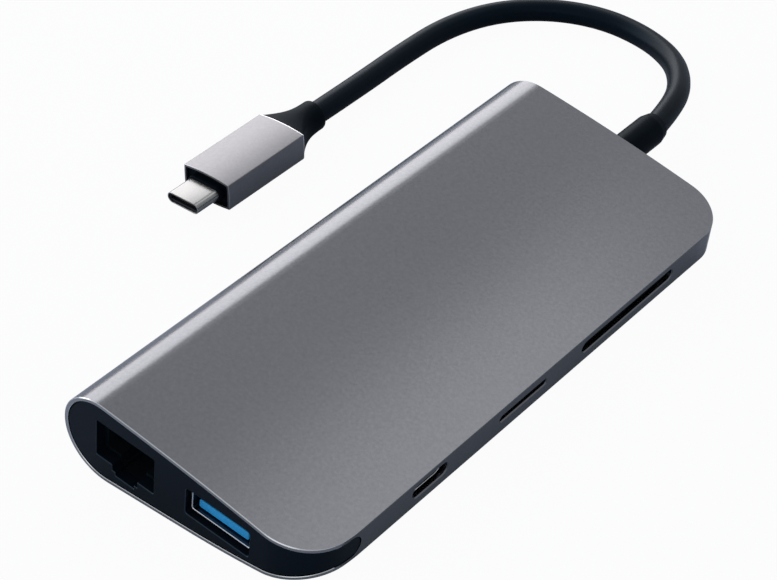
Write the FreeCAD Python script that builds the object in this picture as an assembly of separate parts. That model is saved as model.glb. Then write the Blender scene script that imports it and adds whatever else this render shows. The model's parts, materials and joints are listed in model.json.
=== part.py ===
import FreeCAD, Part
import math
import os

# USB-C multiport hub: a wedge-section aluminium sleeve with a plastic cap at each end, a board with
# its ports inside, and a short captive cable that ends in a USB-C plug.
# Frame: +X towards the thin side, +Y towards the cable end, +Z up, origin at the centre of the
# footprint on the table. Millimetres.
# The board and every port lean together: they are modelled upright in a "port frame" (u, y, w) and
# then turned by PORT_TILT about +Y, so u runs across the board and w stands up from it.

V = FreeCAD.Vector
ACROSS = V(1, 0, 0)
ALONG = V(0, 1, 0)
UP = V(0, 0, 1)

# ---------------------------------------------------------------- driving dimensions: sleeve
LENGTH = 124.4               # along Y, end to end
WIDTH = 56.0                 # along X, thick spine to thin side
THIN_TOP_Z = 8.0             # height of the thin side's upper edge
THIN_FACE = 6.05             # height of the thin side's face, measured along its lean
PORT_TILT = 6.5              # degrees that the ports, the board and the thin side lean
WALL = 0.82                  # sleeve wall
SPINE_LOWER_R = 9.2          # spine, from the table up to its widest point
SPINE_UPPER_R = 8.6          # spine, from its widest point over the top
SPINE_FLAT = 0.2             # short upright between the two spine arcs
SHOULDER_R = 25.0            # soft shoulder between the spine and the sloping top
SHOULDER_START = 8.0         # degrees of slope where the shoulder leaves the spine
CROWN_R = 460.0              # slightly domed top
LAND_END_X = 0.5             # the flat underside ends here and rises to the thin side
EDGE_R = 0.3                 # rounding of the thin side's two long edges
CORNER_R = {"front": 10.35, "rear": 9.5}  # plan corners on the thin side
CORNER_LEAD_R = 45.0         # softer arc that leads into each plan corner
CORNER_LEAD_TURN = {"front": 6.5, "rear": 1.5}   # degrees turned by that softer arc

# ---------------------------------------------------------------- end caps
CAP_GAP = 0.1                # between a cap and the sleeve around it
CAP_INSET = 0.12             # cap face behind the sleeve's rim
CAP_T = 2.2                  # cap thickness
CAP_WRAP = {"front": 13.0, "rear": 5.9}  # how far each cap shows along the thin side
PORT_CLEAR = 0.25            # around a metal shell where it passes through a cap
SHELL_RECESS = 0.9           # shell mouths behind the cap face

# ---------------------------------------------------------------- board
PORT_ABOVE_MIDDLE = 0.41     # line of the side ports above the middle of the thin side
BOARD_T = 1.0
BOARD_GAP = 0.3              # board edge to the caps' inner wall
BOARD_END_GAP = 4.2          # board end behind the hub's end
BOARD_LEFT_U = -24.4
CUT_GAP = 0.2                # board cut-outs around a sunk port

# ---------------------------------------------------------------- ethernet jack (front, thick side)
JACK_U = -14.68
JACK_W = 7.23                # middle of the opening in the cap
JACK_OPEN_WIDTH = 13.45
JACK_OPEN_HEIGHT = 8.35
JACK_OPEN_R = 0.3
JACK_STEPS = ((5.9, 1.4), (4.4, 0.8))    # latch steps below the opening: width, depth
JACK_BODY_WIDTH = 15.45
JACK_BOTTOM_W = 0.4
JACK_TOP_W = 12.9
JACK_DEPTH = 17.0
JACK_CAVITY_WIDTH = 11.9
JACK_CAVITY_HEIGHT = 6.9
JACK_CAVITY_DEPTH = 12.0
JACK_LATCH_DEPTH = 8.0
JACK_BEHIND_CAP = 0.15
JACK_SHIELD_T = 0.25
JACK_PINS = 8
JACK_PIN_PITCH = 1.02
JACK_PIN_T = 0.35
JACK_PIN_START = 3.0         # contacts leave the roof this far behind the jack's face
JACK_PIN_END = 1.5           # and stop this far before the cavity's back
JACK_PIN_DROP = 2.4

# ---------------------------------------------------------------- USB-A ports
USB_FRONT_U = 6.55
USB_REAR_U = 10.9
USB_WIDTH = 13.3             # shell, outside
USB_HEIGHT = 5.7
USB_R = 0.6
USB_SHELL_T = 0.3
USB_DEPTH = 14.2
USB_SINK = 2.0               # shell bottom below the board's top
USB_CAP_WIDTH = 14.3         # opening in the cap
USB_CAP_HEIGHT = 6.1
USB_CAP_LEFT = 0.1           # opening's middle from the shell's, towards the thick side
USB_CAP_LOW = 0.65           # and below the shell's
USB_POCKET_CLEAR = 0.08      # around the shell where it stands behind the opening's upper edge
USB_TONGUE_WIDTH = 11.1
USB_TONGUE_T = 1.84
USB_TONGUE_UP = 0.77         # tongue's underside above the shell's
USB_TONGUE_BACK = 0.75       # tongue tip behind the shell mouth
USB_BASE = 3.1               # plastic block at the back of the shell
USB_CONTACT_T = 0.16
USB_CONTACT_PROUD = 0.1
USB_TAIL = 1.9               # contact tails behind the shell, on the board
USB_MAIN_PINS = (-3.5, -1.0, 1.0, 3.5)
USB_MAIN_PIN_WIDTH = 1.0
USB_MAIN_PIN_BACK = 3.6      # behind the tongue's tip
USB_FAST_PINS = (-4.0, -2.0, 0.0, 2.0, 4.0)
USB_FAST_PIN_WIDTH = 0.6
USB_FAST_PIN_SPAN = (0.9, 3.0)           # behind the tongue's tip

# ---------------------------------------------------------------- HDMI port (rear, thick side)
HDMI_U = -14.2
HDMI_WIDTH = 15.0
HDMI_HEIGHT = 5.55
HDMI_SHOULDER = 1.9          # height of the upright sides above the board
HDMI_FOOT_WIDTH = 11.4
HDMI_SHELL_T = 0.3
HDMI_DEPTH = 11.6
HDMI_TONGUE_WIDTH = 11.0
HDMI_TONGUE_T = 1.1
HDMI_TONGUE_BACK = 1.2
HDMI_BASE = 3.0
HDMI_PINS = 9                # on each face of the tongue
HDMI_PIN_PITCH = 1.0

# ---------------------------------------------------------------- side ports
SLOT_CHAMFER = 0.2           # bevel around each slot in the sleeve
USBC_FROM_FRONT = 31.2       # from the hub's front end
USBC_SLOT = (9.5, 2.8)       # slot length along Y, slot height
USBC_WIDTH = 8.94
USBC_HEIGHT = 3.2
USBC_SHELL_T = 0.3
USBC_DEPTH = 8.4
USBC_TONGUE_WIDTH = 6.7
USBC_TONGUE_T = 0.7
USBC_TONGUE_BACK = 1.0
USBC_BASE = 2.6
USBC_PINS = 12
USBC_PIN_PITCH = 0.5
SOCKET_BEHIND_WALL = 0.38    # socket mouths behind the sleeve's inner face

MICROSD_SHIFT = 1.865        # beyond the middle of the space between its neighbours
MICROSD_SLOT = (13.7, 1.4)
MICROSD_SOCKET = (14.8, 15.4)            # along Y, depth into the hub
MICROSD_BAY = (11.3, 0.95)               # card bay: width, height
MICROSD_PINS = 8
MICROSD_PIN_PITCH = 1.1
MICROSD_TRAVEL = 3.0

SD_REAR_GAP = 3.08           # to the rear USB port's contact tails
SD_SLOT = (29.1, 2.5)
SD_SOCKET = (28.4, 27.0)
SD_BAY = (24.4, 2.3)
SD_PINS = 9
SD_PIN_PITCH = 2.5
SD_TRAVEL = 4.0

COVER_T = 0.2                # sheet-metal socket cover
RAIL = 1.1                   # socket side rail
SOCKET_BACK = 1.5            # socket rear wall
SLIDER_WIDTH = 1.2
SLIDER_LENGTH = 5.0
SLIDER_GAP = 0.08            # slider to its channel, each side
SLIDER_FRONT = 3.0           # slider behind the socket mouth when it is out
SLIDER_HOOK = 0.9            # hook that reaches into the card bay
SPRING_WIRE = 0.16           # square wire, side
SPRING_TURNS = 7

# ---------------------------------------------------------------- chips and small parts
CHIP_SIZES = {               # along u, along y, height
    "hub_controller_chip": (9.0, 9.0, 0.9),
    "ethernet_chip": (6.5, 6.5, 0.9),
    "display_chip": (8.0, 8.0, 0.9),
    "card_reader_chip": (5.0, 5.0, 0.8),
    "power_controller_chip": (4.5, 4.5, 0.8),
}
PIN_ONE_R = 0.4              # dimple that marks a chip's first pin
PIN_ONE_DEEP = 0.1
TRANSFORMER_SIZE = (15.1, 7.2, 5.4)
TRANSFORMER_LEADS = 8        # along each long side
TRANSFORMER_LEAD_PITCH = 1.7
CRYSTAL_SIZE = (3.2, 2.5, 0.8)
INDUCTOR_SIZE = (4.2, 4.2, 2.0)
CAPACITOR_SIZE = (1.6, 0.8, 0.85)
CAPACITOR_COUNTS = (4, 4, 4, 3, 3)
# Places on the board: u, then y, each from the port, socket or tray end beside the part
HUB_CHIP_AT = (-10.5, 3.0)
ETHERNET_CHIP_AT = (0.7, 6.7)
DISPLAY_CHIP_AT = (10.8, 20.2)
CARD_CHIP_AT = (3.2, 2.4)
POWER_CHIP_AT = (9.2, 3.5)
TRANSFORMER_AT = (1.2, 19.2)
CRYSTALS_AT = ((-20.5, 29.7), (-3.0, 27.2), (-21.0, 31.7))
INDUCTORS_AT = ((0.5, 8.7), (3.8, 9.7), (3.8, 16.2))
CAPACITORS_AT = ((-19.0, 3.0), (-2.2, 1.0), (-20.6, 20.2), (4.0, 21.7), (14.6, 10.8))
CAPACITOR_PITCH = 1.7

# ---------------------------------------------------------------- tray and screws
TRAY_GAP = 0.15
TRAY_WALL = 1.2
TRAY_PORT_GAP = 0.58         # to the jack in front of the tray and the USB port behind it
TRAY_RIGHT_U = 14.0
TRAY_RIM_DROP = 0.2          # tray rim below the board
TRAY_RIB_INSETS = (29.7, 28.2)           # from the tray's front and rear ends
SCREWS_AT = ((-21.3, 4.5), (-21.3, 5.2), (11.0, 4.2), (7.6, -0.6))
BOSS_R = 2.3
SCREW_R = 0.9
SCREW_HEAD_R = 1.8
SCREW_HEAD_T = 1.0
SCREW_LENGTH = 3.4
SCREW_CLEAR = 0.1
PILOT_CLEAR = 0.03
RECESS_WIDTH = 0.4
RECESS_DEEP = 0.5

# ---------------------------------------------------------------- cable gland, leads and cable
GLAND_X = -0.6
GLAND_Z = 7.3
GLAND_R = 3.4
GLAND_LENGTH = 14.2          # straight part, from the end of the sleeve
GLAND_TAPER = 1.9            # tapered tip after it
GLAND_TIP_R = 2.9
GLAND_FLANGE_R = 4.6
GLAND_FLANGE_T = 1.5
GLAND_FIT = 0.05             # around the gland in the cap
LEAD_R = 0.42
LEAD_COLUMNS = (-2.2, -0.75, 0.7, 2.15)  # across the gland
LEAD_ROWS = (0.75, 1.9)      # above the board
HEADER_SIZE = (7.2, 3.6, 2.6)
HEADER_FROM_END = 11.0       # its rear face, from the hub's end
CABLE_R = 2.475
CABLE_BEND_SHARE = 0.45      # of the shorter run, taken by each bend
# Hand-laid route: out of the gland, down to the table, half a turn, and back along the hub.
ROUTE = (
    (-0.6, 78.3, 7.3),
    (-2.3, 87.6, 6.8),
    (-6.9, 97.3, 5.3),
    (-14.4, 106.0, 3.5),
    (-24.8, 111.1, 2.5),
    (-36.5, 111.7, 2.5),
    (-47.7, 107.5, 2.5),
    (-56.7, 98.8, 2.5),
    (-61.3, 86.4, 2.5),
    (-61.7, 71.6, 2.6),
    (-61.0, 56.6, 3.0),
    (-60.7, 41.7, 3.45),
)

# ---------------------------------------------------------------- plug
PLUG_X = -60.7
PLUG_MOUTH_Y = 8.85          # front face of the metal sleeve
PLUG_LENGTH = 22.8
PLUG_WIDTH = 12.15
PLUG_THICK = 6.9
PLUG_EDGE = 5.95             # thickness at the long edges
PLUG_SIDE_BULGE = 0.12
PLUG_CORNER_R = 0.25
PLUG_WALL = 0.5
PLUG_BORE_R = 0.12           # corners of the sleeve's bore
PLUG_FACE_BACK = 0.6         # plastic insert behind the sleeve's face
PLUG_INSERT = 4.6
COLLAR_WIDTH = 8.95
COLLAR_HEIGHT = 3.1
COLLAR_LENGTH = 1.45
TIP_WIDTH = 8.25
TIP_HEIGHT = 2.4
TIP_WALL = 0.25
TIP_OUT = 7.0                # steel tip out of the sleeve
TIP_IN = 3.6                 # and into it
TIP_PINS = 12
TIP_PIN_PITCH = 0.5
CARRIER_MOUTH = (6.9, 0.9)   # slot that the port's tongue enters
PLUG_BOARD = (8.6, 0.8)      # width, thickness
PLUG_FIT = 0.05
RELIEF_IN = 5.3              # relief inside the sleeve
RELIEF_RINGS = (             # behind the sleeve, half width, half height, top, side and corner radii
    (0.0, 5.95, 3.38, 28.0, 30.0, 0.30),
    (0.5, 5.56, 3.33, 26.0, 27.5, 0.40),
    (1.0, 5.20, 3.30, 24.0, 25.0, 0.52),
    (1.6, 4.80, 3.28, 21.0, 22.0, 0.72),
    (2.3, 4.42, 3.27, 17.5, 18.5, 1.02),
    (3.2, 4.03, 3.26, 13.5, 14.0, 1.45),
    (4.2, 3.72, 3.26, 10.0, 10.5, 1.95),
    (5.4, 3.47, 3.27, 7.0, 7.2, 2.45),
    (6.8, 3.34, 3.28, 4.8, 4.9, 2.85),
    (8.6, 3.30, 3.30, 3.65, 3.65, 3.15),
    (10.05, 3.30, 3.30, 3.65, 3.65, 3.15),
)

# ---------------------------------------------------------------- derived places
TILT = math.radians(PORT_TILT)
THIN_X = WIDTH / 2
END_Y = LENGTH / 2
CAP_FACE_Y = END_Y - CAP_INSET
CAP_BACK_Y = CAP_FACE_Y - CAP_T
MOUTH_Y = CAP_FACE_Y - SHELL_RECESS


def u_of(x, z):
    return x * math.cos(TILT) - z * math.sin(TILT)


def w_of(x, z):
    return x * math.sin(TILT) + z * math.cos(TILT)


SIDE_U = u_of(THIN_X, THIN_TOP_Z)
SOCKET_U = SIDE_U - WALL - SOCKET_BEHIND_WALL
PORT_W = w_of(THIN_X, THIN_TOP_Z) - THIN_FACE / 2 + PORT_ABOVE_MIDDLE
BOARD_TOP_W = PORT_W - USBC_HEIGHT / 2
BOARD_BOTTOM_W = BOARD_TOP_W - BOARD_T
USB_SHELL_BOTTOM_W = BOARD_TOP_W - USB_SINK
BOARD_HALF = END_Y - BOARD_END_GAP
JACK_BACK_Y = -CAP_BACK_Y + JACK_BEHIND_CAP + JACK_DEPTH + JACK_SHIELD_T
USB_BACK_Y = MOUTH_Y - USB_DEPTH
TRAY_ENDS = (JACK_BACK_Y + TRAY_PORT_GAP, USB_BACK_Y - TRAY_PORT_GAP)
TRAY_RIBS = (TRAY_ENDS[0] + TRAY_RIB_INSETS[0], TRAY_ENDS[1] - TRAY_RIB_INSETS[1])
HEADER_Y = END_Y - HEADER_FROM_END
GLAND_U = u_of(GLAND_X, GLAND_Z)
GLAND_W = w_of(GLAND_X, GLAND_Z)
USBC_Y = -END_Y + USBC_FROM_FRONT
SD_Y = USB_BACK_Y - USB_TAIL - SD_REAR_GAP - SD_SOCKET[0] / 2
SD_FRONT_Y = SD_Y - SD_SOCKET[0] / 2
SD_BACK_U = SOCKET_U - SD_SOCKET[1]
MICROSD_Y = (USBC_Y + USBC_WIDTH / 2 + SD_FRONT_Y) / 2 + MICROSD_SHIFT
MICROSD_REAR_Y = MICROSD_Y + MICROSD_SOCKET[0] / 2
PLUG_Z = PLUG_THICK / 2
PLUG_BACK_Y = PLUG_MOUTH_Y + PLUG_LENGTH

# Board parts keep their distance from the port, socket or tray end beside them: middles in u, y.
FRONT_Y, REAR_Y = TRAY_ENDS
CHIP_PLACES = {
    "hub_controller_chip": HUB_CHIP_AT,
    "ethernet_chip": (JACK_U + ETHERNET_CHIP_AT[0], FRONT_Y + ETHERNET_CHIP_AT[1]),
    "display_chip": (SD_BACK_U - DISPLAY_CHIP_AT[0], REAR_Y - DISPLAY_CHIP_AT[1]),
    "card_reader_chip": (CARD_CHIP_AT[0], MICROSD_Y - CARD_CHIP_AT[1]),
    "power_controller_chip": (POWER_CHIP_AT[0], USBC_Y + POWER_CHIP_AT[1]),
}
TRANSFORMER_PLACE = (JACK_U + TRANSFORMER_AT[0], FRONT_Y + TRANSFORMER_AT[1])
CRYSTALS = (
    (CRYSTALS_AT[0][0], FRONT_Y + CRYSTALS_AT[0][1]),
    (CRYSTALS_AT[1][0], FRONT_Y + CRYSTALS_AT[1][1]),
    (CRYSTALS_AT[2][0], REAR_Y - CRYSTALS_AT[2][1]),
)
INDUCTORS = (
    (INDUCTORS_AT[0][0], FRONT_Y + INDUCTORS_AT[0][1]),
    (SD_BACK_U - INDUCTORS_AT[1][0], REAR_Y - INDUCTORS_AT[1][1]),
    (SD_BACK_U - INDUCTORS_AT[2][0], REAR_Y - INDUCTORS_AT[2][1]),
)
CAPACITOR_ROWS = (
    CAPACITORS_AT[0],
    CAPACITORS_AT[1],
    (CAPACITORS_AT[2][0], REAR_Y - CAPACITORS_AT[2][1]),
    (CAPACITORS_AT[3][0], FRONT_Y + CAPACITORS_AT[3][1]),
    (CAPACITORS_AT[4][0], USBC_Y + CAPACITORS_AT[4][1]),
)
SCREW_PLACES = (
    (SCREWS_AT[0][0], FRONT_Y + SCREWS_AT[0][1]),
    (SCREWS_AT[1][0], REAR_Y - SCREWS_AT[1][1]),
    (SCREWS_AT[2][0], FRONT_Y + SCREWS_AT[2][1]),
    (SCREWS_AT[3][0], (MICROSD_REAR_Y + SD_FRONT_Y) / 2 + SCREWS_AT[3][1]),
)


# ================================================================ helpers

def block(u0, u1, y0, y1, w0, w1):
    return Part.makeBox(u1 - u0, y1 - y0, w1 - w0, V(u0, y0, w0))


def centred_block(u, y, w0, size_u, size_y, height):
    return block(u - size_u / 2, u + size_u / 2, y - size_y / 2, y + size_y / 2, w0, w0 + height)


def one(shapes):
    """Fuse a list of solids into one clean shape."""
    joined = shapes[0].multiFuse(shapes[1:]) if len(shapes) > 1 else shapes[0]
    return joined.removeSplitter()


def rounded_wire(width, height, radius, centre, across):
    """Rounded rectangle standing on Z: a stadium where the radius is half the height."""
    a = width / 2 - radius
    b = height / 2 - radius
    diagonal = radius * math.sqrt(0.5)

    def at(s, t):
        return centre + across * s + UP * t

    edges = []
    for sx, sz, turn in ((1, 1, 0), (-1, 1, 1), (-1, -1, 0), (1, -1, 1)):
        side = at(sx * (a + radius), sz * b)
        cap = at(sx * a, sz * (b + radius))
        middle = at(sx * (a + diagonal), sz * (b + diagonal))
        first, last = (cap, side) if turn else (side, cap)
        if edges and (first - edges[-1].lastVertex(True).Point).Length > 1e-6:
            edges.append(Part.LineSegment(edges[-1].lastVertex(True).Point, first).toShape())
        edges.append(Part.Arc(first, middle, last).toShape())
    start = edges[0].firstVertex(True).Point
    if (start - edges[-1].lastVertex(True).Point).Length > 1e-6:
        edges.append(Part.LineSegment(edges[-1].lastVertex(True).Point, start).toShape())
    return Part.Wire(edges)


def rounded_bar(width, height, radius, start, across, run):
    """Bar with a rounded-rectangle section, from start along the vector run."""
    return Part.Face(rounded_wire(width, height, radius, start, across)).extrude(run)


def outline_prism(points, direction):
    """Prism on a closed polygon."""
    return Part.Face(Part.makePolygon(list(points) + [points[0]])).extrude(direction)


def lean(shape):
    """Turn a shape from the port frame into the hub's frame."""
    placed = shape.copy()
    placed.rotate(V(0, 0, 0), ALONG, PORT_TILT)
    return placed


def to_rear(shape):
    """Mirror a front-end shape to the cable end."""
    return shape.mirror(V(0, 0, 0), ALONG)


# ================================================================ sleeve section and plan

def arc_on(centre, start, end):
    """Shorter arc about a centre, between two points of its circle in one XZ plane."""
    middle = (start - centre) + (end - centre)
    middle.normalize()
    return Part.Arc(start, centre + middle * (start - centre).Length, end).toShape()


def circle_meets_side(centre, radius, foot, sign):
    """Where the leaning side line through foot meets a circle: sign +1 above foot, -1 below."""
    line = V(math.sin(TILT), 0, math.cos(TILT))
    offset = foot - centre
    half_b = offset.dot(line)
    reach = -half_b + sign * math.sqrt(half_b ** 2 - offset.dot(offset) + radius ** 2)
    return foot + line * reach


def section_face(inset, y):
    """Sleeve section moved inwards by inset, in the plane at y. Every arc keeps its centre."""
    left = -WIDTH / 2
    low = V(left + SPINE_LOWER_R, y, SPINE_LOWER_R)
    high = V(left + SPINE_UPPER_R, y, SPINE_LOWER_R + SPINE_FLAT)
    start = math.radians(SHOULDER_START)
    to_shoulder = V(math.sin(start), 0, math.cos(start))
    shoulder = high - to_shoulder * (SHOULDER_R - SPINE_UPPER_R)
    top_edge = V(THIN_X, y, THIN_TOP_Z)
    # the crown's circle passes through the thin side's upper edge and touches the shoulder's
    span = top_edge - shoulder
    reach = CROWN_R - SHOULDER_R
    along = (reach ** 2 - CROWN_R ** 2 + span.Length ** 2) / (2 * span.Length)
    aside = math.sqrt(reach ** 2 - along ** 2)
    span.normalize()
    crown = shoulder + span * along + V(span.z, 0, -span.x) * aside
    to_crown = shoulder - crown
    to_crown.normalize()
    # the underside's circle starts level and passes through the thin side's lower edge
    bottom_edge = top_edge - V(math.sin(TILT), 0, math.cos(TILT)) * THIN_FACE
    run = bottom_edge.x - LAND_END_X
    belly_r = (run ** 2 + bottom_edge.z ** 2) / (2 * bottom_edge.z)
    belly = V(LAND_END_X, y, belly_r)
    foot = (top_edge + bottom_edge) * 0.5 - V(math.cos(TILT), 0, -math.sin(TILT)) * inset
    side_top = circle_meets_side(crown, CROWN_R - inset, foot, 1)
    side_low = circle_meets_side(belly, belly_r - inset, foot, -1)
    land_left = V(low.x, y, inset)
    land_right = V(LAND_END_X, y, inset)
    crown_join = crown + to_crown * (CROWN_R - inset)
    shoulder_join = high + to_shoulder * (SPINE_UPPER_R - inset)
    spine_top = V(left + inset, y, high.z)
    spine_low = V(left + inset, y, low.z)
    edges = [
        Part.LineSegment(land_left, land_right).toShape(),
        arc_on(belly, land_right, side_low),
        Part.LineSegment(side_low, side_top).toShape(),
        arc_on(crown, side_top, crown_join),
        arc_on(shoulder, crown_join, shoulder_join),
        arc_on(high, shoulder_join, spine_top),
        Part.LineSegment(spine_top, spine_low).toShape(),
        arc_on(low, spine_low, land_left),
    ]
    return Part.Face(Part.Wire(edges)), side_low, side_top


def section_prism(inset, y0, y1):
    return section_face(inset, y0)[0].extrude(ALONG * (y1 - y0))


def plan_prism(inset):
    """Everything inside the plan outline, moved inwards by inset, as a tall prism that leans
    with the ports. Each thin-side corner is a soft lead arc followed by the corner arc."""
    lead_u = SIDE_U - CORNER_LEAD_R
    lead_r = CORNER_LEAD_R - inset
    side = SIDE_U - inset
    far = -WIDTH
    edges = []
    start = V(far, -END_Y + inset, -WIDTH)
    for end, sign in (("front", -1), ("rear", 1)):
        turn = math.radians(CORNER_LEAD_TURN[end])
        half = turn / 2
        mid = (turn + math.pi / 2) / 2
        to_corner = CORNER_LEAD_R - CORNER_R[end]
        corner_r = CORNER_R[end] - inset
        corner_u = lead_u + to_corner * math.cos(turn)
        corner_y = END_Y - CORNER_R[end]
        lead_y = corner_y - to_corner * math.sin(turn)
        quarter = [
            V(corner_u, sign * (corner_y + corner_r), -WIDTH),
            V(corner_u + corner_r * math.cos(mid), sign * (corner_y + corner_r * math.sin(mid)), -WIDTH),
            V(corner_u + corner_r * math.cos(turn), sign * (corner_y + corner_r * math.sin(turn)), -WIDTH),
            V(lead_u + lead_r * math.cos(half), sign * (lead_y + lead_r * math.sin(half)), -WIDTH),
            V(side, sign * lead_y, -WIDTH),
        ]
        if sign > 0:
            quarter.reverse()
        edges.append(Part.LineSegment(start, quarter[0]).toShape())
        edges.append(Part.Arc(quarter[0], quarter[1], quarter[2]).toShape())
        edges.append(Part.Arc(quarter[2], quarter[3], quarter[4]).toShape())
        start = quarter[4]
    last = V(far, END_Y - inset, -WIDTH)
    edges.append(Part.LineSegment(start, last).toShape())
    edges.append(Part.LineSegment(last, V(far, -END_Y + inset, -WIDTH)).toShape())
    return lean(Part.Face(Part.Wire(edges)).extrude(UP * 2 * WIDTH))


def wrap_window(gap, end):
    """The slot at a plan corner where that end's cap shows through the thin side, less gap."""
    _, low, top = section_face(WALL, 0)
    w0 = w_of(low.x, low.z) + gap
    w1 = w_of(top.x, top.z) - gap
    radius = (w1 - w0) / 2
    tip_y = -END_Y + CAP_WRAP[end] - gap
    inner_u = SIDE_U - WALL - CAP_T
    bar = block(inner_u, SIDE_U + WALL, -END_Y - CORNER_R[end], tip_y - radius, w0, w1)
    nose = Part.makeCylinder(radius, SIDE_U + WALL - inner_u, V(inner_u, tip_y - radius, (w0 + w1) / 2), ACROSS)
    window = lean(one([bar, nose]))
    return window if end == "front" else to_rear(window)


def side_slot(size, y):
    """A stadium slot through the thin side, with a bevelled mouth."""
    length, height = size
    back = V(SIDE_U - WALL * 2, y, PORT_W)
    slot = rounded_bar(length, height, height / 2, back, ALONG, ACROSS * (WALL * 3))
    grown = 2 * SLOT_CHAMFER
    inner = rounded_wire(length, height, height / 2, V(SIDE_U - SLOT_CHAMFER, y, PORT_W), ALONG)
    outer = rounded_wire(length + 2 * grown, height + 2 * grown, height / 2 + grown,
                         V(SIDE_U + SLOT_CHAMFER, y, PORT_W), ALONG)
    bevel = Part.makeLoft([inner, outer], True, True)
    return lean(one([slot, bevel]))


def housing_sleeve():
    outer = section_prism(0, -END_Y, END_Y)
    _, low, top = section_face(0, 0)
    long_edges = []
    for edge in outer.Edges:
        middle = edge.CenterOfMass
        if edge.Length > LENGTH - 1 and min((V(middle.x, 0, middle.z) - p).Length for p in (low, top)) < 0.01:
            long_edges.append(edge)
    outer = outer.makeFillet(EDGE_R, long_edges)
    shell = outer.common(plan_prism(0)).cut(section_prism(WALL, -END_Y - 1, END_Y + 1))
    cuts = [wrap_window(0, "front"), wrap_window(0, "rear")]
    cuts += [side_slot(USBC_SLOT, USBC_Y), side_slot(MICROSD_SLOT, MICROSD_Y), side_slot(SD_SLOT, SD_Y)]
    return shell.cut(cuts).removeSplitter()


# ================================================================ end caps

def blank_cap(end):
    """Cap with no openings: a plate that follows the plan outline inside the sleeve."""
    core = section_prism(WALL + CAP_GAP, -END_Y - 1, -END_Y + CAP_WRAP[end])
    if end == "rear":
        core = to_rear(core)
    body = one([core, wrap_window(CAP_GAP, end)])
    skin = plan_prism(CAP_INSET).cut(plan_prism(CAP_INSET + CAP_T))
    return body.common(skin)


def through_cap(width, height, radius, u, w, start_y=-END_Y - 1):
    """Cutter for a port opening in the front cap, or from start_y for a pocket behind its face."""
    run = ALONG * (-CAP_BACK_Y + 1 - start_y)
    return lean(rounded_bar(width, height, radius, V(u, start_y, w), ACROSS, run))


def usb_opening(u):
    """Cutters for a USB-A port in the front cap: the opening, which shows more below the shell than
    above it, and the pocket that the shell stands in."""
    w = usb_middle_w()
    clear = 2 * USB_POCKET_CLEAR
    return [
        through_cap(USB_CAP_WIDTH, USB_CAP_HEIGHT, USB_R, u - USB_CAP_LEFT, w - USB_CAP_LOW),
        through_cap(USB_WIDTH + clear, USB_HEIGHT + clear, USB_R + clear / 2, u, w,
                    -MOUTH_Y - USB_POCKET_CLEAR),
    ]


def jack_latch_steps(y0, y1, top_w):
    """Two stacked steps under the plug cavity that let the plug's latch in."""
    steps = []
    for width, deep in JACK_STEPS:
        steps.append(block(JACK_U - width / 2, JACK_U + width / 2, y0, y1, top_w - deep, JACK_W))
        top_w -= deep
    return steps


def front_end_cap():
    opening_low = JACK_W - JACK_OPEN_HEIGHT / 2
    cuts = [through_cap(JACK_OPEN_WIDTH, JACK_OPEN_HEIGHT, JACK_OPEN_R, JACK_U, JACK_W)]
    cuts += [lean(step) for step in jack_latch_steps(-END_Y - 1, -CAP_BACK_Y + 1, opening_low)]
    return blank_cap("front").cut(cuts + usb_opening(USB_FRONT_U)).removeSplitter()


def rear_end_cap():
    usb = [to_rear(cutter) for cutter in usb_opening(USB_REAR_U)]
    hdmi = hdmi_outline(PORT_CLEAR, CAP_BACK_Y - 1, END_Y + 1)
    bore = Part.makeCylinder(GLAND_R + GLAND_FIT, 3 * CAP_T, V(GLAND_X, CAP_BACK_Y - CAP_T, GLAND_Z), ALONG)
    return blank_cap("rear").cut(usb + [lean(hdmi), bore]).removeSplitter()


# ================================================================ ethernet jack

def jack_box(grow, top_only):
    """Outside of the jack's plastic body, grown by grow at its sides, back and top."""
    front = -CAP_BACK_Y + JACK_BEHIND_CAP
    half = JACK_BODY_WIDTH / 2 + grow
    low = JACK_BOTTOM_W + (JACK_TOP_W - JACK_BOTTOM_W) * 0.25 if top_only else JACK_BOTTOM_W
    return block(JACK_U - half, JACK_U + half, front, front + JACK_DEPTH + grow, low, JACK_TOP_W + grow)


def jack_pins():
    """Spring contacts: from the roof at the front, sloping down and back over the cavity."""
    front = -CAP_BACK_Y + JACK_BEHIND_CAP
    roof = JACK_W + JACK_CAVITY_HEIGHT / 2
    y0 = front + JACK_PIN_START
    y1 = front + JACK_CAVITY_DEPTH - JACK_PIN_END
    low = roof - JACK_PIN_DROP
    pins = []
    for index in range(JACK_PINS):
        u = JACK_U + (index - (JACK_PINS - 1) / 2) * JACK_PIN_PITCH - JACK_PIN_T / 2
        profile = [
            V(u, y0, roof + JACK_PIN_T), V(u, y0, roof - JACK_PIN_T), V(u, y1, low),
            V(u, y1 + JACK_PIN_T, low), V(u, y0 + JACK_PIN_T, roof), V(u, front + JACK_DEPTH - 1, roof),
            V(u, front + JACK_DEPTH - 1, roof + JACK_PIN_T),
        ]
        pins.append(outline_prism(profile, ACROSS * JACK_PIN_T))
    return pins


def ethernet_jack():
    front = -CAP_BACK_Y + JACK_BEHIND_CAP
    cavity_low = JACK_W - JACK_CAVITY_HEIGHT / 2
    half = JACK_CAVITY_WIDTH / 2
    cavity = block(JACK_U - half, JACK_U + half, front - 1, front + JACK_CAVITY_DEPTH, cavity_low,
                   cavity_low + JACK_CAVITY_HEIGHT)
    opening_low = JACK_W - JACK_OPEN_HEIGHT / 2
    steps = jack_latch_steps(front - 1, front + JACK_LATCH_DEPTH, opening_low)
    pins = jack_pins()
    housing = jack_box(0, False).cut([cavity] + steps).cut(pins)
    shield = jack_box(JACK_SHIELD_T, True).cut(jack_box(0, False))
    return {
        "ethernet_jack_housing": lean(housing),
        "ethernet_jack_shield": lean(shield),
        "ethernet_jack_contacts": lean(Part.makeCompound(pins)),
    }


# ================================================================ USB-A ports

def usb_middle_w():
    return USB_SHELL_BOTTOM_W + USB_HEIGHT / 2


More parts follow.
